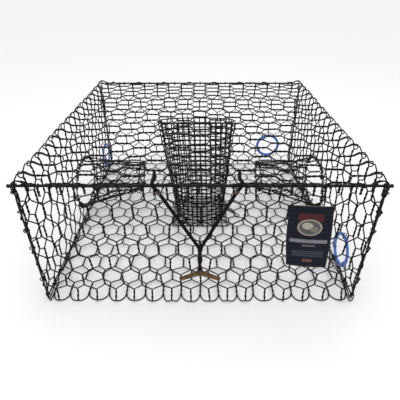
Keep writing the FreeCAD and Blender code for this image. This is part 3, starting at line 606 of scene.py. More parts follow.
def wrap_profile(reach, bend, first_wall, last_wall):
    """A U seen from its end: along a wall, round a bend, across, round a bend and along
    the other wall. Gives the distance along it, the place (across, height above the flat)
    and the outward normal at points close enough for straight lines between them."""
    turn = np.linspace(0, np.pi / 2, 13)
    back = turn[::-1]
    across = np.concatenate(
        [[-reach], bend - reach - bend * np.cos(turn), reach - bend + bend * np.cos(back), [reach]]
    )
    height = np.concatenate(
        [[first_wall], bend - bend * np.sin(turn), bend - bend * np.sin(back), [last_wall]]
    )
    out_across = np.concatenate([[-1], -np.cos(turn), np.cos(back), [1]])
    out_height = np.concatenate([[0], -np.sin(turn), -np.sin(back), [0]])
    far = np.concatenate([[0], np.cumsum(np.hypot(np.diff(across), np.diff(height)))])
    return far, across, height, out_across, out_height


def net_strands(rows_at, parity, arches=(), strand=STRAND):
    """Strands of a strip of hexagonal netting, as (side, along, proud) for each sample.
    Strand i sits at half cell tri(2i + row), where tri goes up and down between -LAST and
    LAST, so it crosses the strip from selvedge to selvedge. At each row it turns one and a
    half times round its neighbour, or once round the selvedge, by (cos, sin) of an angle
    that grows along the twist; between rows it runs nearly straight to the next half cell.
    arches gives the rows after which it follows a quarter of an oval instead, and whether
    the oval starts crosswise (1) or lengthwise (-1), as it does over a fold."""
    count, rows = 2 * LAST, len(rows_at)
    step = 2 * np.arange(count)[:, None] + np.arange(-1, rows)[None, :] + parity
    place = np.abs((step + LAST) % (4 * LAST) - 2 * LAST) - LAST
    here, before = place[:, 1:], place[:, :-1]
    at_edge = np.abs(here) == LAST
    row = np.broadcast_to(np.arange(rows), here.shape)
    loose = ~at_edge
    wander = rng.normal(0, 1.0, (4, rows, 2 * LAST + 1)).clip(-2, 2)
    pick = wander[:, row, here + LAST]
    side = (here * CELL / 2).clip(-selvedge_at, selvedge_at) + loose * pick[0] * 1.1 * MM
    along = rows_at[row] + pick[1] * 1.3 * MM
    lean = loose * pick[2] * 1.5 * MM
    proud = loose * pick[3] * 0.7 * MM
    part = np.linspace(0, 1, 9)
    start = np.where(here > before, np.pi, 0.0)
    sweep = np.where(at_edge, 2 * np.pi, 3 * np.pi)
    angle = start[..., None] + sweep[..., None] * part
    away = np.where(at_edge, EDGE_R + strand, strand * 0.72)[..., None]
    pinch = 1 + 0.25 * (np.abs(part - 0.5) * 2) ** 4
    twisted = np.stack(
        [
            side[..., None] + away * pinch * np.cos(angle) + lean[..., None] * (part - 0.5),
            along[..., None] + TWIST * (part - 0.5),
            proud[..., None] + away * np.sin(angle),
        ],
        -1,
    )
    leave, reach_next = twisted[:, :-1, -1], twisted[:, 1:, 0]
    share = np.broadcast_to(np.arange(1, 5) / 5, (rows - 1, 4))
    eased = 0.45 * share + 0.55 * share * share * (3 - 2 * share)
    mix = np.stack([eased, share, share], -1)
    quick, slow = np.sin(share[0] * np.pi / 2), 1 - np.cos(share[0] * np.pi / 2)
    for row_before, way in arches:
        order = (quick, slow) if way > 0 else (slow, quick)
        mix[row_before] = np.stack([*order, share[0]], -1)
    links = leave[:, :, None] + (reach_next - leave)[:, :, None] * mix
    full = np.concatenate([twisted[:, :-1], links], 2).reshape(count, -1, 3)
    return np.concatenate([full, twisted[:, -1]], 1)


def sway(strands, size):
    """Slow waves that pull the netting out of true, fading to nothing at its selvedges."""
    side, along = strands[..., 0], strands[..., 1]
    hold = 1 - (side / selvedge_at).clip(-1, 1) ** 6
    push = np.sin(along / 0.061 + side / 0.13) + 0.7 * np.sin(along / 0.037 - side / 0.071)
    slide = np.sin(side / 0.083 + 1.3) * np.cos(along / 0.094)
    lift = np.sin(side / 0.097 + along / 0.21 + 0.6) * np.sin(along / 0.118)
    shift = np.stack([push * 0.8, slide * 1.2, lift * 1.3], -1) * size
    return strands + shift * hold[..., None]


def sprung(strands, first, last, size):
    """The netting stands out between two distances along it, by size times the square of
    sin(pi * share of the way)."""
    share = ((strands[..., 1] - first) / (last - first)).clip(0, 1)
    strands[..., 2] += size * np.sin(np.pi * share) ** 2
    return strands


def cut_runs(kinds):
    """The first and last sample of each run of equal kinds; -1 is left out. A run also
    says whether each of its ends was cut at an opening."""
    at = np.concatenate([[0], np.flatnonzero(np.diff(kinds)) + 1, [len(kinds)]])
    for first, last in zip(at[:-1], at[1:]):
        if kinds[first] >= 0:
            yield (
                kinds[first], first, last,
                first > 0 and kinds[first - 1] < 0,
                last < len(kinds) and kinds[last] < 0,
            )  # fmt: skip


def hitch(end, core, axis, radius, travel, turns=1.3, tail=0.0):
    """A wire end wound round a core: a helix that starts beside the end, turns about the
    core's axis and moves along it, and then a straight tail. It stays above the ground."""
    axis = unit(np.asarray(axis, float))
    out = end - core - axis * np.dot(end - core, axis)
    first = unit(out)
    other = np.cross(axis, first)
    angle = np.linspace(0, 2 * np.pi * turns, int(8 * turns) + 2)[:, None]
    moved = np.linspace(0, 1, len(angle))[:, None] * travel
    on_axis = core + axis * np.dot(end - core, axis)
    line = on_axis + radius * (np.cos(angle) * first + np.sin(angle) * other) + axis * moved
    line = np.concatenate([[end], line])
    if tail:
        ahead = unit(line[-1] - line[-2])
        line = np.concatenate([line, [line[-1] + ahead * tail * 0.5, line[-1] + ahead * tail]])
    line[:, 2] = np.maximum(line[:, 2], STRAND + 0.1 * MM)
    return tube(line, STRAND, COARSE_SIDES, axis + 0.01 * other)


def oval_line(centre, half_side, half_high, count=72):
    """A closed oval in the plane X = constant."""
    turn = 2 * np.pi * np.arange(count)[:, None] / count
    return centre + half_side * np.cos(turn) * Y + half_high * np.sin(turn) * Z


def nearest(line, point):
    """The nearest point of a closed line, and the line's direction there."""
    n = int(np.argmin(np.linalg.norm(line - point, axis=1)))
    return line[n], unit(line[(n + 1) % len(line)] - line[n - 1])


mouth_rings = {}
for side in ("left", "right"):
    low, high = low_high(f"{side}_mouth_ring")
    centre = (low + high) / 2
    half_size = (high - low) / 2 - 1.5 * MM
    mouth_rings[side] = (centre, half_size[1], half_size[2])
cull = {side: middle(f"{side}_cull_ring") for side in ("left", "right", "back")}
CULL_OUT = 38 * MM
well_middle = np.array([0, middle("well_foot_clips")[1], floor_level])
HOLE_R = 58 * MM
WELL_FOOT = 60 * MM  # radius of the bait well at the floor


def opening_kind(points, kinds):
    """Marks -1 where a sample lies in a funnel's mouth, an escape ring or the floor hole."""
    x, y, z = np.moveaxis(points, -1, 0)
    for side, sign in (("left", -1), ("right", 1)):
        centre, wide, high = mouth_rings[side]
        in_oval = ((y - centre[1]) / wide) ** 2 + ((z - centre[2]) / high) ** 2 < 1
        kinds[in_oval & (x * sign > NEAR_WALL)] = -1
        off = np.hypot(y - cull[side][1], z - cull[side][2])
        kinds[(off < CULL_OUT) & (x * sign > NEAR_WALL)] = -1
    off = np.hypot(x - cull["back"][0], z - cull["back"][2])
    kinds[(off < CULL_OUT) & (y > NEAR_WALL)] = -1
    off = np.hypot(x - well_middle[0], y - well_middle[1])
    kinds[(off < HOLE_R) & (z < NEAR_FLOOR)] = -1
    return kinds


round_turn = np.linspace(0, 2 * np.pi, 73)[:-1, None]
foot_line = well_middle + WELL_FOOT * (np.cos(round_turn) * X + np.sin(round_turn) * Y)
mouth_lines = {s: oval_line(*mouth_rings[s]) for s in mouth_rings}


def end_wrap(end):
    """A cut strand's wrap round the rim that it ends at, or None at an escape ring."""
    if end[2] < NEAR_FLOOR:
        line = foot_line
    elif abs(end[0]) > NEAR_WALL:
        line = mouth_lines["left" if end[0] < 0 else "right"]
    else:
        return None
    core, way = nearest(line, end)
    if np.linalg.norm(core - end) > 12 * MM:
        return None
    tail = max(0.0, rng.normal(4, 3)) * MM
    return hitch(end, core, way, RIM_WRAP, rng.normal(0, 3) * MM, rng.uniform(1.1, 1.6), tail)


def laid_out(strands, profile, level, up_sign, lengthwise, sideways):
    """Strands on a wrap: each sample's (side, along, proud) becomes the profile's place at
    that distance, plus proud times its normal, plus side times the sideways direction."""
    far, across, height, out_across, out_height = profile
    side, along, proud = np.moveaxis(strands, -1, 0)
    a, b = np.interp(along, far, across), np.interp(along, far, height)
    na, nb = np.interp(along, far, out_across), np.interp(along, far, out_height) * up_sign
    normal = unit(na[..., None] * lengthwise + nb[..., None] * Z)
    flat = a[..., None] * lengthwise + (level + up_sign * b)[..., None] * Z
    points = flat + side[..., None] * sideways + proud[..., None] * normal
    return points, normal


# lower wrap: front, floor and back

FOLD_LEVEL = 1.7 * MM
LOW_BEND = 7 * MM
PITCH = 39 * MM
FIRST_ROW = 252 * MM  # height of the first row of twists
FOLD_BEFORE, FOLD_AFTER = 19 * MM, 17 * MM  # how far the fold at the front's foot reaches
FRONT_FOLD_OUT = 6 * MM
front_top = rod[2] - rod_r - 1.0 * MM
back_top = low_high("back_netting")[1][2]
low_profile = wrap_profile(-front_plane, LOW_BEND, front_top - FOLD_LEVEL, back_top - FOLD_LEVEL)
low_long = low_profile[0][-1]
low_rows = np.arange(front_top - FIRST_ROW, low_long + TWIST / 2, PITCH)
front_fold = front_top - FOLD_LEVEL - 0.2 * LOW_BEND
last_front = int(np.searchsorted(low_rows, front_fold)) - 1
low_strands = sway(net_strands(low_rows, 1, ((last_front, 1),)), 1.0 * MM)
low_strands = sprung(
    low_strands, front_fold - FOLD_BEFORE, front_fold + FOLD_AFTER, FRONT_FOLD_OUT
)


def selvedges(long):
    """The two edge lines of a strip of netting, as (side, along, proud)."""
    along = np.linspace(0, long, 330)
    return [np.stack([0 * along + s * selvedge_at, along, 0 * along], -1) for s in (-1, 1)]


low_edges = selvedges(low_long)


def floor_rise(points):
    """The floor rises from the folds to its own level a little way in."""
    inside = ((-front_plane - np.abs(points[..., 1])) / (30 * MM)).clip(0, 1)
    lifted = inside * inside * (3 - 2 * inside) * (floor_level - FOLD_LEVEL)
    on_floor = points[..., 2] < 12 * MM
    points[..., 2] = np.maximum(points[..., 2] + lifted * on_floor, STRAND + 0.1 * MM)
    return points


def gather(strands, radius, lay, kind_of, sides=COARSE_SIDES):
    """Tubes for each strand, sorted by kind, with wraps where openings cut them."""
    made = {}
    for strand in strands:
        points, normal = lay(strand)
        kinds = opening_kind((points[1:] + points[:-1]) / 2, kind_of(points))
        for kind, first, last, cut_first, cut_last in cut_runs(kinds):
            run = slice(first, last + 1)
            shapes = made.setdefault(kind, [])
            shapes.append(tube(points[run], radius, sides, normal[run]))
            for cut, end in ((cut_first, points[first]), (cut_last, points[last])):
                wrap = end_wrap(end) if cut else None
                if wrap:
                    shapes.append(wrap)
    return made


def lay_low(strand):
    """A strand of the lower wrap in its place, cut off at the ends of the wrap."""
    strand = strand[(strand[:, 1] >= 0) & (strand[:, 1] <= low_long)]
    points, normal = laid_out(strand, low_profile, FOLD_LEVEL, 1, Y, X)
    return floor_rise(points), normal


def one_kind(points):
    """The lower wrap is all one piece, so each sample is of kind 0."""
    return np.zeros(len(points) - 1, int)


low_made = gather(low_strands, STRAND, lay_low, one_kind)
low_shapes = low_made[0]
low_edge_shapes = gather(low_edges, EDGE_R, lay_low, one_kind, 8)[0]
back_core = middle("back_top_wire")
for strand in low_strands:
    points = lay_low(strand)[0]
    way = np.sign(points[0, 0] - points[1, 0]) or 1.0
    low_shapes.append(
        hitch(points[0], rod, X, ROD_WRAP, way * rng.uniform(2, 5) * MM, rng.uniform(0.5, 1.0))
    )
    low_shapes.append(
        hitch(points[-1], back_core, X, EDGE_WRAP, rng.normal(0, 6) * MM, rng.uniform(0.7, 1.3))
    )
# a short doubled end hangs from the rod in each cell
for n in range(-8, 9):
    x = n * CELL + rng.normal(0, 1.2) * MM
    long = rng.uniform(9, 19) * MM
    down = np.linspace(0, 1, 13)[:, None]
    for start in (0, np.pi):
        angle = start + down * 2.2 * np.pi
        line = np.array([x, front_plane, front_top]) - down * long * Z
        line = line + STRAND * (np.cos(angle) * X + np.sin(angle) * Y)
        low_shapes.append(tube(line, STRAND, COARSE_SIDES, Y))
        low_shapes.append(
            hitch(line[0], rod, X, ROD_WRAP, rng.normal(0, 3) * MM, rng.uniform(0.5, 0.9))
        )
piece(
    "lower_wrap_netting", low_shapes, NETTING,
    stands_for=["front_netting", "floor_netting", "back_netting"],
)  # fmt: skip
piece(
    "lower_wrap_selvedges", low_edge_shapes, WIRE,
    stands_for=["lower_left_selvedge", "lower_right_selvedge"],
)  # fmt: skip

# upper wrap: left side, roof and right side

HIGH_BEND = 13 * MM
HIGH_PITCH = 39.5 * MM
ARCH = 30 * MM  # length of the single wires that arch over a fold
SIDE_ROWS, ROOF_ROWS = 7, 15
side_foot = middle("left_bottom_wire")[2] + 1.5 * MM
wall = roof_level - side_foot
high_profile = wrap_profile(side_plane, HIGH_BEND, wall, wall)
high_long = high_profile[0][-1]
wall_end = wall - HIGH_BEND + 1.0 * MM
roof_long = high_long - 2 * (wall_end + ARCH)
side_rows = wall_end - TWIST / 2 - HIGH_PITCH * np.arange(SIDE_ROWS)[::-1]
roof_pitch = (roof_long - TWIST) / (ROOF_ROWS - 1)
roof_rows = wall_end + ARCH + TWIST / 2 + roof_pitch * np.arange(ROOF_ROWS)
high_rows = np.concatenate([side_rows, roof_rows, high_long - side_rows[::-1]])
folds = ((SIDE_ROWS - 1, 1), (SIDE_ROWS + ROOF_ROWS - 1, -1))
high_strands = sway(net_strands(high_rows, 0, folds), 1.0 * MM)
arch_from, arch_to = wall_end - 8 * MM, wall_end + ARCH + 5 * MM
FOLD_OUT = 8 * MM  # how far the fold springs out


def fold_out(strands):
    """Both folds of the upper wrap spring out."""
    strands = sprung(strands, arch_from, arch_to, FOLD_OUT)
    return sprung(strands, high_long - arch_to, high_long - arch_from, FOLD_OUT)


high_strands = fold_out(high_strands)
high_edges = [fold_out(edge) for edge in selvedges(high_long)]
hinge = next(j for j in frame["record"]["behaviour"]["joints"] if j["name"] == "flap_lift")
hinge_y = hinge["pos_m"][1]
FLAP_HALF = low_high("roof_flap_netting")[1][0] + 4 * MM
STRIP_OUT = 288 * MM
EASE_IN, EASE_OUT = 40 * MM, 40 * MM
EDGE_DROP = 6 * MM


def roof_kind(points):
    """0 stays with the trap, 1 is the lifting part, 2 and 3 join it to the two sides."""
    x, y, z = ((points[1:] + points[:-1]) / 2).T
    kinds = np.zeros(len(x), int)
    on_roof = z > roof_level - 12 * MM
    kinds[on_roof & (np.abs(x) < FLAP_HALF) & (y < hinge_y + EASE_IN)] = 1
    strip = on_roof & (y < hinge_y) & (np.abs(x) >= FLAP_HALF) & (np.abs(x) < STRIP_OUT)
    kinds[strip & (x < 0)] = 2
    kinds[strip & (x > 0)] = 3
    return kinds


def lay_high(strand):
    """The roof's front edge settles behind the rod. The last 22 mm drop smoothly by
    EDGE_DROP and draw back a little, less and less down the folds."""
    strand = strand[(strand[:, 1] >= 0) & (strand[:, 1] <= high_long)]
    points, normal = laid_out(strand, high_profile, roof_level, -1, X, Y)
    share = ((-selvedge_at + 22 * MM - points[:, 1]) / (20 * MM)).clip(0, 1)
    level = ((points[:, 2] - roof_level + 45 * MM) / (35 * MM)).clip(0, 1)
    drop = share * share * (3 - 2 * share) * level * level * (3 - 2 * level)
    points[:, 2] -= EDGE_DROP * drop
    points[:, 1] += EDGE_DROP / 4 * drop
    return points, normal


high_made = gather(high_strands, STRAND, lay_high, roof_kind)
edge_made = gather(high_edges, EDGE_R, lay_high, roof_kind, 8)
for strand in high_strands:
    points = lay_high(strand)[0]
    for side, end in (("left", points[0]), ("right", points[-1])):
        core = middle(f"{side}_bottom_wire")
        high_made[0].append(
            hitch(end, core, Y, EDGE_WRAP, rng.normal(0, 6) * MM, rng.uniform(0.7, 1.3))
        )
piece(
    "upper_wrap_netting", high_made[0], NETTING,
    stands_for=["left_netting", "right_netting", "roof_rear_netting"],
)  # fmt: skip
piece(
    "upper_wrap_selvedges", edge_made[0], WIRE,
    stands_for=["upper_front_left_selvedge", "upper_front_right_selvedge", "upper_back_selvedge"],
)  # fmt: skip
flap = piece(
    "roof_flap_net", high_made[1], NETTING, None, ["roof_flap_netting"]
)
piece("roof_flap_front_edge", edge_made[1], WIRE, "flap", ["flap_selvedge"])
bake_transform(flap)
for kind, side, sign in ((2, "left", -1), (3, "right", 1)):
    strip = piece(
        f"roof_{side}_strip_net", high_made[kind], NETTING, None,
        [f"roof_{side}_netting"],
    )  # fmt: skip
    strip_edge = piece(f"roof_{side}_strip_edge", edge_made[kind], WIRE, None)
    for soft in (strip, strip_edge):
        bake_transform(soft)  # fmt: skip

# ---------------------------------------------------------------- rods and edge wires


def capped_rod(name, node, radius, way, knob):
    """A straight wire with small swollen ends, a little out of true."""
    low, high = low_high(node)
    mid = (low + high) / 2
    half = np.abs((high - low) @ way) / 2
    along = np.concatenate(
        [[-1, -0.9985, -0.996, -0.992], np.linspace(-0.985, 0.985, 90), [0.992, 0.996, 0.9985, 1]]
    )
    path = mid + along[:, None] * half * way
    out = unit(np.cross(way, Z))
    bow = (1 - along**2)[:, None]
    bent = np.sin(along * 9)[:, None] * out + np.cos(along * 7)[:, None] * Z
    path = path + 0.5 * MM * bow * bent
    end = np.abs(along) * half - half
    wide = radius + (knob - radius) * np.exp(-(((end + 2.5 * MM) / (2.2 * MM)) ** 2))
    wide[[0, -1]] *= 0.55
    wide[[1, -2]] *= 0.85
    up = Y if abs(way[1]) < 0.5 else Z
    piece(name, [tube(path, wide, 12, up)], WIRE, stands_for=[node])


capped_rod("front_top_rod", "front_rod", rod_r - 0.2 * MM, X, rod_r + 1.0 * MM)
for place, way in (("back_top", X), ("left_bottom", Y), ("right_bottom", Y)):
    capped_rod(f"{place}_edge_wire", f"{place}_wire", 1.35 * MM, way, 1.6 * MM)

# ---------------------------------------------------------------- hog rings


def ring_middles(node, axis):
    """The middle of each ring of a CAD node whose rings stand in a row along an axis."""
    data = frame["nodes"][node].data
    points = np.empty(len(data.vertices) * 3)
    data.vertices.foreach_get("co", points)
    points = points.reshape(-1, 3)
    points = points[np.argsort(points[:, axis])]
    split = np.flatnonzero(np.diff(points[:, axis]) > 5 * MM) + 1
    return [(part.min(0) + part.max(0)) / 2 for part in np.split(points, split)]


def hog_ring(centre, axis, radius, wire):
    """A C-shaped ring closed with pliers: a little over one turn of a flat helix, squeezed
    into an oval, tipped by a few degrees."""
    first = unit(np.cross(axis, axis[[1, 2, 0]]) + rng.normal(0, 0.15, 3))
    axis = unit(axis + rng.normal(0, 0.16, 3))
    first = unit(first - axis * np.dot(first, axis))
    other = np.cross(axis, first)
    start = rng.uniform(0, 2 * np.pi)
    angle = np.linspace(0, 2 * np.pi * 1.12, 22)[:, None] + start
    squeeze = 1 + 0.1 * np.cos(2 * angle)
    rise = (np.linspace(-0.5, 0.5, 22)[:, None]) * wire * 2.2
    line = centre + radius * squeeze * (np.cos(angle) * first + np.sin(angle) * other) + rise * axis
    return tube(line, wire, 8, axis)


# each row of rings and the axis that it runs along: 0 is X, 1 is Y and 2 is Z
RINGS = {
    "front_left": 2, "front_right": 2, "back_left": 2, "back_right": 2,
    "bottom_left": 1, "bottom_right": 1, "back_top": 0,
}  # fmt: skip
for place, axis in RINGS.items():
    node = f"{place}_hog_rings"
    made = [hog_ring(c, np.eye(3)[axis], 4.4 * MM, 1.0 * MM) for c in ring_middles(node, axis)]
    piece(f"{place}_clinched_rings", made, STEEL, stands_for=[node])

# ---------------------------------------------------------------- funnels

FUNNEL_CELLS = 12


def funnel_net(side, sign):
    """Netting on a funnel: the strands of a closed ring of cells, half of them drifting
    one way round and half the other, on an oval that shrinks from mouth to throat."""
    mouth, wide_0, high_0 = mouth_rings[side]
    low, high = low_high(f"{side}_throat_ring")
    throat, half_1 = (low + high) / 2, (high - low) / 2 - 1.5 * MM
    wide_1, high_1 = half_1[1], half_1[2]
    long = abs(mouth[0] - throat[0])
    rows = 4
    rows_at = (17 + 38 * np.arange(rows)) * MM
    count = 2 * FUNNEL_CELLS
    twist = 24 * MM
    wander = rng.normal(0, 1, (3, rows, count)).clip(-2, 2)
    part = np.linspace(0, 1, 9)
    shapes = []

    def lay(turn, along, proud):
        """The place and outward normal at a turn round the funnel and a distance in from
        its mouth: the oval there, drawn in by a waist of sin(pi * share), plus proud."""
        share = (along / long).clip(0, 1)
        waist = np.sin(np.pi * share) * 3 * MM
        wide = wide_0 + (wide_1 - wide_0) * share - waist + proud
        tall = high_0 + (high_1 - high_0) * share - waist + proud
        x = mouth[0] - sign * along.clip(0, long)
        y = mouth[1] + (throat[1] - mouth[1]) * share + wide * np.cos(turn)
        z = mouth[2] + (throat[2] - mouth[2]) * share + tall * np.sin(turn)
        out = np.stack([0 * x, np.cos(turn) / wide, np.sin(turn) / tall], -1)
        return np.stack([x, y, z], -1), unit(out)

    cores = [oval_line(mouth, wide_0, high_0), oval_line(throat, wide_1, high_1)]
    for start in range(FUNNEL_CELLS):
        for drift in (-1, 1):
            spot = 2 * start + drift * np.arange(rows)
            pick = wander[:, np.arange(rows), spot % count]
            size = 1 - 0.35 * rows_at / long
            angle = (np.pi if drift > 0 else 0.0) + 3 * np.pi * part[None, :]
            turn = 2 * np.pi * (spot + 0.10 * pick[0])[:, None] / count
            turn = turn + STRAND * np.cos(angle) / (60 * MM * size[:, None])
            along = (rows_at + 2.0 * MM * pick[1])[:, None] + twist * (part - 0.5)
            proud = 2.0 * MM * pick[2][:, None] + STRAND * np.sin(angle)
            track = np.stack([turn, along, proud], -1).reshape(-1, 3)
            first = track[:1] + [[-drift * np.pi / count * 0.4, -6 * MM, 0]]
            track = np.concatenate([first, track])
            points, normal = lay(*track.T)
            shapes.append(tube(points, STRAND, COARSE_SIDES, normal))
            for end, core_line in ((points[0], cores[0]), (points[-1], cores[1])):
                core, way = nearest(core_line, end)
                tail = rng.uniform(2, 9) * MM
                slip, turns = rng.normal(0, 4) * MM, rng.uniform(1.1, 1.7)
                shapes.append(hitch(end, core, way, RIM_WRAP, slip, turns, tail))
    piece(f"{side}_funnel_net", shapes, NETTING, stands_for=[f"{side}_funnel"])
    for label, line in zip(("mouth", "throat"), cores):
        seam = line + rng.normal(0, 0.5, (9, 3)).repeat(8, 0) * MM * 0.4
        piece(
            f"{side}_{label}_rim_wire", [tube(seam, 1.5 * MM, 8, X, closed=True)], WIRE,
            stands_for=[f"{side}_{label}_ring"],
        )  # fmt: skip
    rings = []
    for k in range(10):
        core = cores[0][int(k * 7.2) % 72]
        way = nearest(cores[0], core)[1]
        rings.append(hog_ring(core, way, 4.2 * MM, 0.95 * MM))
    piece(
        f"{side}_mouth_clinched_rings", rings, STEEL,
        stands_for=[f"{side}_mouth_hog_rings"],
    )  # fmt: skip


funnel_net("left", -1)
funnel_net("right", 1)

# ---------------------------------------------------------------- bait well and its door

MESH_R = 1.35 * MM
SQUARE = 12.7 * MM
well_low, well_high = low_high("bait_well")
head_wide = (well_high - well_low)[0] / 2
HEAD_DEEP = 22 * MM
head_middle = np.array([(well_low + well_high)[0] / 2, -10 * MM])


def well_level(share, count, out):
    """Points at even distances round the well at a share of its height: an oval that goes
    from a circle at the foot to a flat pinched one at the head."""
    wide = WELL_FOOT + (head_wide - WELL_FOOT) * share + out
    deep = WELL_FOOT + (HEAD_DEEP - WELL_FOOT) * share + out
    fine = np.linspace(0, 2 * np.pi, 361)
    x, y = wide * np.cos(fine), deep * np.sin(fine)
    far = np.concatenate([[0], np.cumsum(np.hypot(np.diff(x), np.diff(y)))])
    at = np.linspace(0, far[-1], count + 1)[:-1]
    mid_x = head_middle[0] * share
    mid_y = well_middle[1] + (head_middle[1] - well_middle[1]) * share
    z = well_low[2] + (well_high[2] - well_low[2]) * share
    return np.stack([np.interp(at, far, x) + mid_x, np.interp(at, far, y) + mid_y, 0 * at + z], 1)


well_tall = well_high[2] - well_low[2]
shares = (np.arange(0, well_tall, SQUARE) + SQUARE / 4) / well_tall
well_shapes = []
UPRIGHTS, LEVELS, ROUND = 30, 23, 60
grid = np.stack([well_level(s, UPRIGHTS, MESH_R * 0.8) for s in np.linspace(0, 1, LEVELS)])
dent = rng.normal(0, 0.5, (LEVELS, UPRIGHTS, 2)) * MM
for _ in range(3):
    dent = (dent + np.roll(dent, 1, 0) + np.roll(dent, 1, 1)) / 3
grid[..., :2] += dent * 2
for k in range(UPRIGHTS):
    outward = grid[:, k] - np.array([0, well_middle[1], 0])
    outward[:, 2] = 0
    well_shapes.append(tube(grid[:, k], MESH_R, COARSE_SIDES, unit(outward)))
for share in shares[shares < 1]:
    ring = well_level(share, ROUND, -MESH_R * 0.8)
    wave = np.sin(np.arange(ROUND) / ROUND * 2 * np.pi + share * 9)
    ring[:, 2] += rng.normal(0, 0.3) * MM + 0.5 * MM * wave
    well_shapes.append(tube(ring, MESH_R, COARSE_SIDES, Z, closed=True))
piece("bait_well_mesh", well_shapes, MESH, stands_for=["bait_well"])

door_low, door_high = low_high("bait_door")
door = (door_low + door_high) / 2
door_half = (door_high - door_low)[0] / 2 - 0.8 * MM
door_shapes = []
for offset in np.linspace(-door_half, door_half, 12):
    bend_in = rng.normal(0, 0.4) * MM
    ends = np.linspace(-door_half - 0.8 * MM, door_half + 0.8 * MM, 14)[:, None]
    wave = 0.3 * MM * np.sin(ends / 0.012 + offset * 400)
    for axis, other, height in ((X, Y, 0.8 * MM), (Y, X, -0.5 * MM)):
        aside = offset + wave * 0.5 + bend_in * 0.2
        path = door + ends * axis + aside * other + height * Z
        door_shapes.append(tube(path, 1.15 * MM, COARSE_SIDES, Z))
piece("bait_door_mesh", door_shapes, MESH, "bait_door", ["bait_door"])

# ---------------------------------------------------------------- escape rings


def escape_ring(name, centre, axis, node):
    """A moulded flat ring: a rounded section with a shallow groove on each face."""
    inner, outer, deep = 30 * MM, 38 * MM, 2.25 * MM
    turn = np.linspace(0, 2 * np.pi, 29)[:-1]
    mid, half = (inner + outer) / 2, (outer - inner) / 2
    round_x = np.sign(np.cos(turn)) * np.abs(np.cos(turn)) ** 0.55
    round_y = np.sign(np.sin(turn)) * np.abs(np.sin(turn)) ** 0.55
    groove = 1 - 0.22 * np.exp(-((round_x / 0.35) ** 2))
    section = np.stack([mid + half * round_x, deep * round_y * groove], 1)
    ring = turned(section, centre, axis, 96)
    piece(name, [ring], RING_BLUE, stands_for=[node])


for side, axis in (("left", X), ("right", X), ("back", Y)):
    escape_ring(f"{side}_escape_ring", cull[side], axis, f"{side}_cull_ring")

# ---------------------------------------------------------------- bait door catch

catch_low, catch_high = low_high("bait_door_cord")
CATCH_Z = 3.6 * MM
bend_x = catch_low[0] + 0.35 * (catch_high[0] - catch_low[0])
catch_route = np.array(
    [
        [catch_low[0], catch_high[1], CATCH_Z],
        [bend_x, catch_high[1] - 6 * MM, CATCH_Z],
        [catch_high[0], catch_low[1], CATCH_Z],
    ]
)
catch_cord = braided(along_route(catch_route), 2.4 * MM, Z, ribs=4, slant=300.0, sides=14)
piece(
    "bait_door_catch_cord", [catch_cord], CORD, "bait_catch", ["bait_door_cord"]
)

# ---------------------------------------------------------------- hang tag


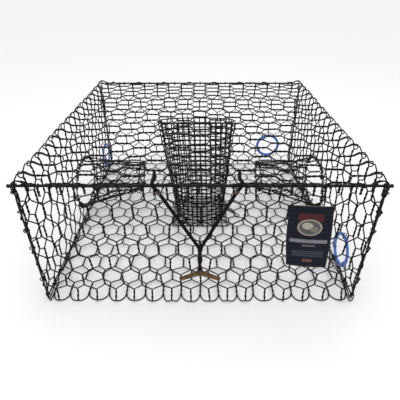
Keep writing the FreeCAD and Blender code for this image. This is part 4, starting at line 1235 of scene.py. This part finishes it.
def card_print():
    """The tag's print, from its own (across, up) place on the card: a dark blue ground with
    faint bands, a red block, a cream oval with a grey disc, pale bars and a small dull red
    block. Each figure is a mask of soft-edged bands or an oval distance."""
    material = bpy.data.materials.new("printed_card")
    material.use_nodes = True
    tree = material.node_tree
    shader = tree.nodes["Principled BSDF"]
    source = tree.nodes.new("ShaderNodeTexCoord").outputs
    split = tree.nodes.new("ShaderNodeSeparateXYZ")
    feed(tree, split.inputs[0], source["UV"])
    across, up = split.outputs[0], split.outputs[1]

    def between(value, low, high, soft=0.012):
        """1 where a value lies between two others, with soft ends."""
        rising = spread(tree, value, low - soft, low + soft)
        falling = spread(tree, value, high - soft, high + soft, 1.0, 0.0)
        return reckon(tree, "MULTIPLY", rising, falling)

    def block(low_x, high_x, low_y, high_y):
        """1 inside an upright oblong."""
        return reckon(tree, "MULTIPLY", between(across, low_x, high_x), between(up, low_y, high_y))

    def disc(mid_x, mid_y, half_x, half_y):
        """1 inside an oval."""
        x = reckon(tree, "DIVIDE", reckon(tree, "SUBTRACT", across, mid_x), half_x)
        y = reckon(tree, "DIVIDE", reckon(tree, "SUBTRACT", up, mid_y), half_y)
        far = reckon(tree, "ADD", reckon(tree, "MULTIPLY", x, x), reckon(tree, "MULTIPLY", y, y))
        return spread(tree, far, 0.9, 1.1, 1.0, 0.0)

    bars = (0.26, 0.225, 0.19)
    haze = cloud(tree, source["Object"], 30.0, 5.0)
    climb, stray = reckon(tree, "MULTIPLY", up, 90.0), reckon(tree, "MULTIPLY", haze, 9.0)
    ripple = reckon(tree, "SINE", reckon(tree, "ADD", climb, stray))
    shade = reckon(tree, "MULTIPLY", spread(tree, ripple, 0.2, 1.0), spread(tree, haze, 0.3, 0.7))
    colour = blended(tree, shade, (0.002, 0.003, 0.009, 1), (0.008, 0.013, 0.032, 1))
    figures = [
        (block(0.24, 0.78, 0.76, 0.88), (0.06, 0.012, 0.014, 1)),
        (disc(0.5, 0.665, 0.27, 0.13), (0.3, 0.26, 0.2, 1)),
        (disc(0.5, 0.665, 0.235, 0.11), (0.07, 0.075, 0.085, 1)),
        (disc(0.45, 0.69, 0.12, 0.055), (0.34, 0.31, 0.26, 1)),
        (disc(0.6, 0.64, 0.09, 0.045), (0.17, 0.15, 0.13, 1)),
        (block(0.08, 0.92, 0.415, 0.47), (0.17, 0.175, 0.19, 1)),
        (block(0.36, 0.66, 0.355, 0.38), (0.1, 0.105, 0.12, 1)),
        *[(block(0.14, 0.86, low, low + 0.015), (0.06, 0.065, 0.085, 1)) for low in bars],
        (block(0.4, 0.62, 0.09, 0.14), (0.13, 0.05, 0.045, 1)),
    ]
    for mask, paint in figures:
        worn = reckon(tree, "MULTIPLY", mask, spread(tree, haze, 0.15, 0.45, 0.75, 1.0))
        colour = blended(tree, worn, colour, paint)
    rim = reckon(
        tree, "MULTIPLY", between(across, 0.012, 0.988, 0.006), between(up, 0.007, 0.993, 0.004)
    )
    colour = blended(tree, rim, (0.1, 0.1, 0.11, 1), colour)
    tree.links.new(colour, shader.inputs["Base Color"])
    rub = cloud(tree, source["Object"], 420.0)
    feed(tree, shader.inputs["Roughness"], spread(tree, rub, 0.3, 0.7, 0.3, 0.42))
    shader.inputs["Specular IOR Level"].default_value = 0.12
    lift = tree.nodes.new("ShaderNodeBump")
    lift.inputs["Distance"].default_value = 0.06 * MM
    tree.links.new(cloud(tree, source["Object"], 1500.0), lift.inputs["Height"])
    tree.links.new(lift.outputs["Normal"], shader.inputs["Normal"])
    return material


PRINT = card_print()
TAG_SHIFT = np.array([0, -6, -3]) * MM  # forward of the CAD card and down
tag_mid = middle("hang_tag") + TAG_SHIFT
TAG_WIDE, TAG_HIGH, TAG_THICK = 75 * MM, 133.5 * MM, 0.8 * MM
LEAN = np.radians(4.5)
YAW = np.radians(11)
tag_across = np.array([np.cos(LEAN) * np.cos(YAW), -np.sin(YAW), np.sin(LEAN) * np.cos(YAW)])
tag_up = np.array([-np.sin(LEAN), 0, np.cos(LEAN)])


def tag_card():
    """A thin card with rounded corners: rings of points from its middle out to its outline,
    bowed by 2.2 mm * across^2 - 1.0 mm * up^2, on a front and a back joined at the edge."""
    turn = np.linspace(0, 2 * np.pi, 97)[:-1]
    corner = 5 * MM
    straight = np.array([TAG_WIDE, TAG_HIGH]) / 2 - corner
    way = np.stack([np.cos(turn), np.sin(turn)], 1)
    square = way / np.maximum(np.abs(way[:, :1]), np.abs(way[:, 1:]))
    outline = square * straight + corner * unit(square * straight + way * corner)
    rings = np.array([0.001, 0.2, 0.4, 0.6, 0.8, 0.95, 1.0])[:, None, None] * outline
    flat = rings.reshape(-1, 2)
    wide_bow = 2.2 * MM * (flat[:, 0] / (TAG_WIDE / 2)) ** 2
    bow = wide_bow - 1.0 * MM * (flat[:, 1] / (TAG_HIGH / 2)) ** 2
    count, total = len(turn), len(flat)
    base = tag_mid + flat[:, :1] * tag_across + flat[:, 1:] * tag_up
    front = base + ((-TAG_THICK / 2 - 1.2 * MM + bow)[:, None]) * Y
    back = front + TAG_THICK * Y
    i, k = np.arange(len(rings) - 1)[:, None], np.arange(count)[None, :]
    here, there, right = i * count, (i + 1) * count, (k + 1) % count
    face = np.stack([here + k, there + k, there + right, here + right], -1).reshape(-1, 4)
    back_face = face[:, ::-1] + total
    last = (len(rings) - 1) * count
    k, right = np.arange(count), (np.arange(count) + 1) % count
    rim = np.stack([last + k, last + k + total, last + right + total, last + right], -1)
    quads = np.concatenate([face, back_face, rim])
    where = np.tile(flat / np.array([TAG_WIDE, TAG_HIGH]) + 0.5, (2, 1))
    where[total:, 0] = 0.5
    ends = [list(range(count))[::-1], [total + n for n in range(count)]]
    return np.concatenate([front, back]), quads, ends, where[quads.ravel()]


piece("hang_tag_card", [tag_card()], PRINT, "tag", ["hang_tag"])

# ---------------------------------------------------------------- floor, light and end

floor_mesh = bpy.data.meshes.new("studio_floor")
floor_mesh.from_pydata([(-30, -30, 0), (30, -30, 0), (30, 30, 0), (-30, 30, 0)], [], [(0, 1, 2, 3)])
studio = bpy.data.materials.new("studio_floor")
studio.use_nodes = True
studio.node_tree.nodes["Principled BSDF"].inputs["Base Color"].default_value = (0.9, 0.9, 0.9, 1)
studio.node_tree.nodes["Principled BSDF"].inputs["Roughness"].default_value = 0.7
floor_mesh.materials.append(studio)
studio_floor = bpy.data.objects.new("studio_floor", floor_mesh)
bpy.context.collection.objects.link(studio_floor)

world = bpy.data.worlds.new("soft_room")
world.use_nodes = True
world.node_tree.nodes["Background"].inputs["Color"].default_value = (1, 1, 1, 1)
world.node_tree.nodes["Background"].inputs["Strength"].default_value = 1.0
bpy.context.scene.world = world
bpy.context.scene.view_settings.view_transform = "Standard"


def soft_light(name, place, aim, size, power):
    """A square area light that faces a point."""
    lamp = bpy.data.lights.new(name, "AREA")
    lamp.size = size
    lamp.energy = power
    holder = bpy.data.objects.new(name, lamp)
    holder.location = place
    way = np.array(aim) - np.array(place)
    holder.rotation_euler = [
        np.arctan2(np.hypot(way[0], way[1]), -way[2]), 0, np.arctan2(-way[0], way[1])
    ]
    bpy.context.collection.objects.link(holder)


soft_light("overhead", (0.2, -0.1, 1.9), (0, 0, 0), 1.6, 8)
soft_light("front_fill", (-0.9, -1.7, 1.3), (0, 0, 0.1), 1.2, 4)
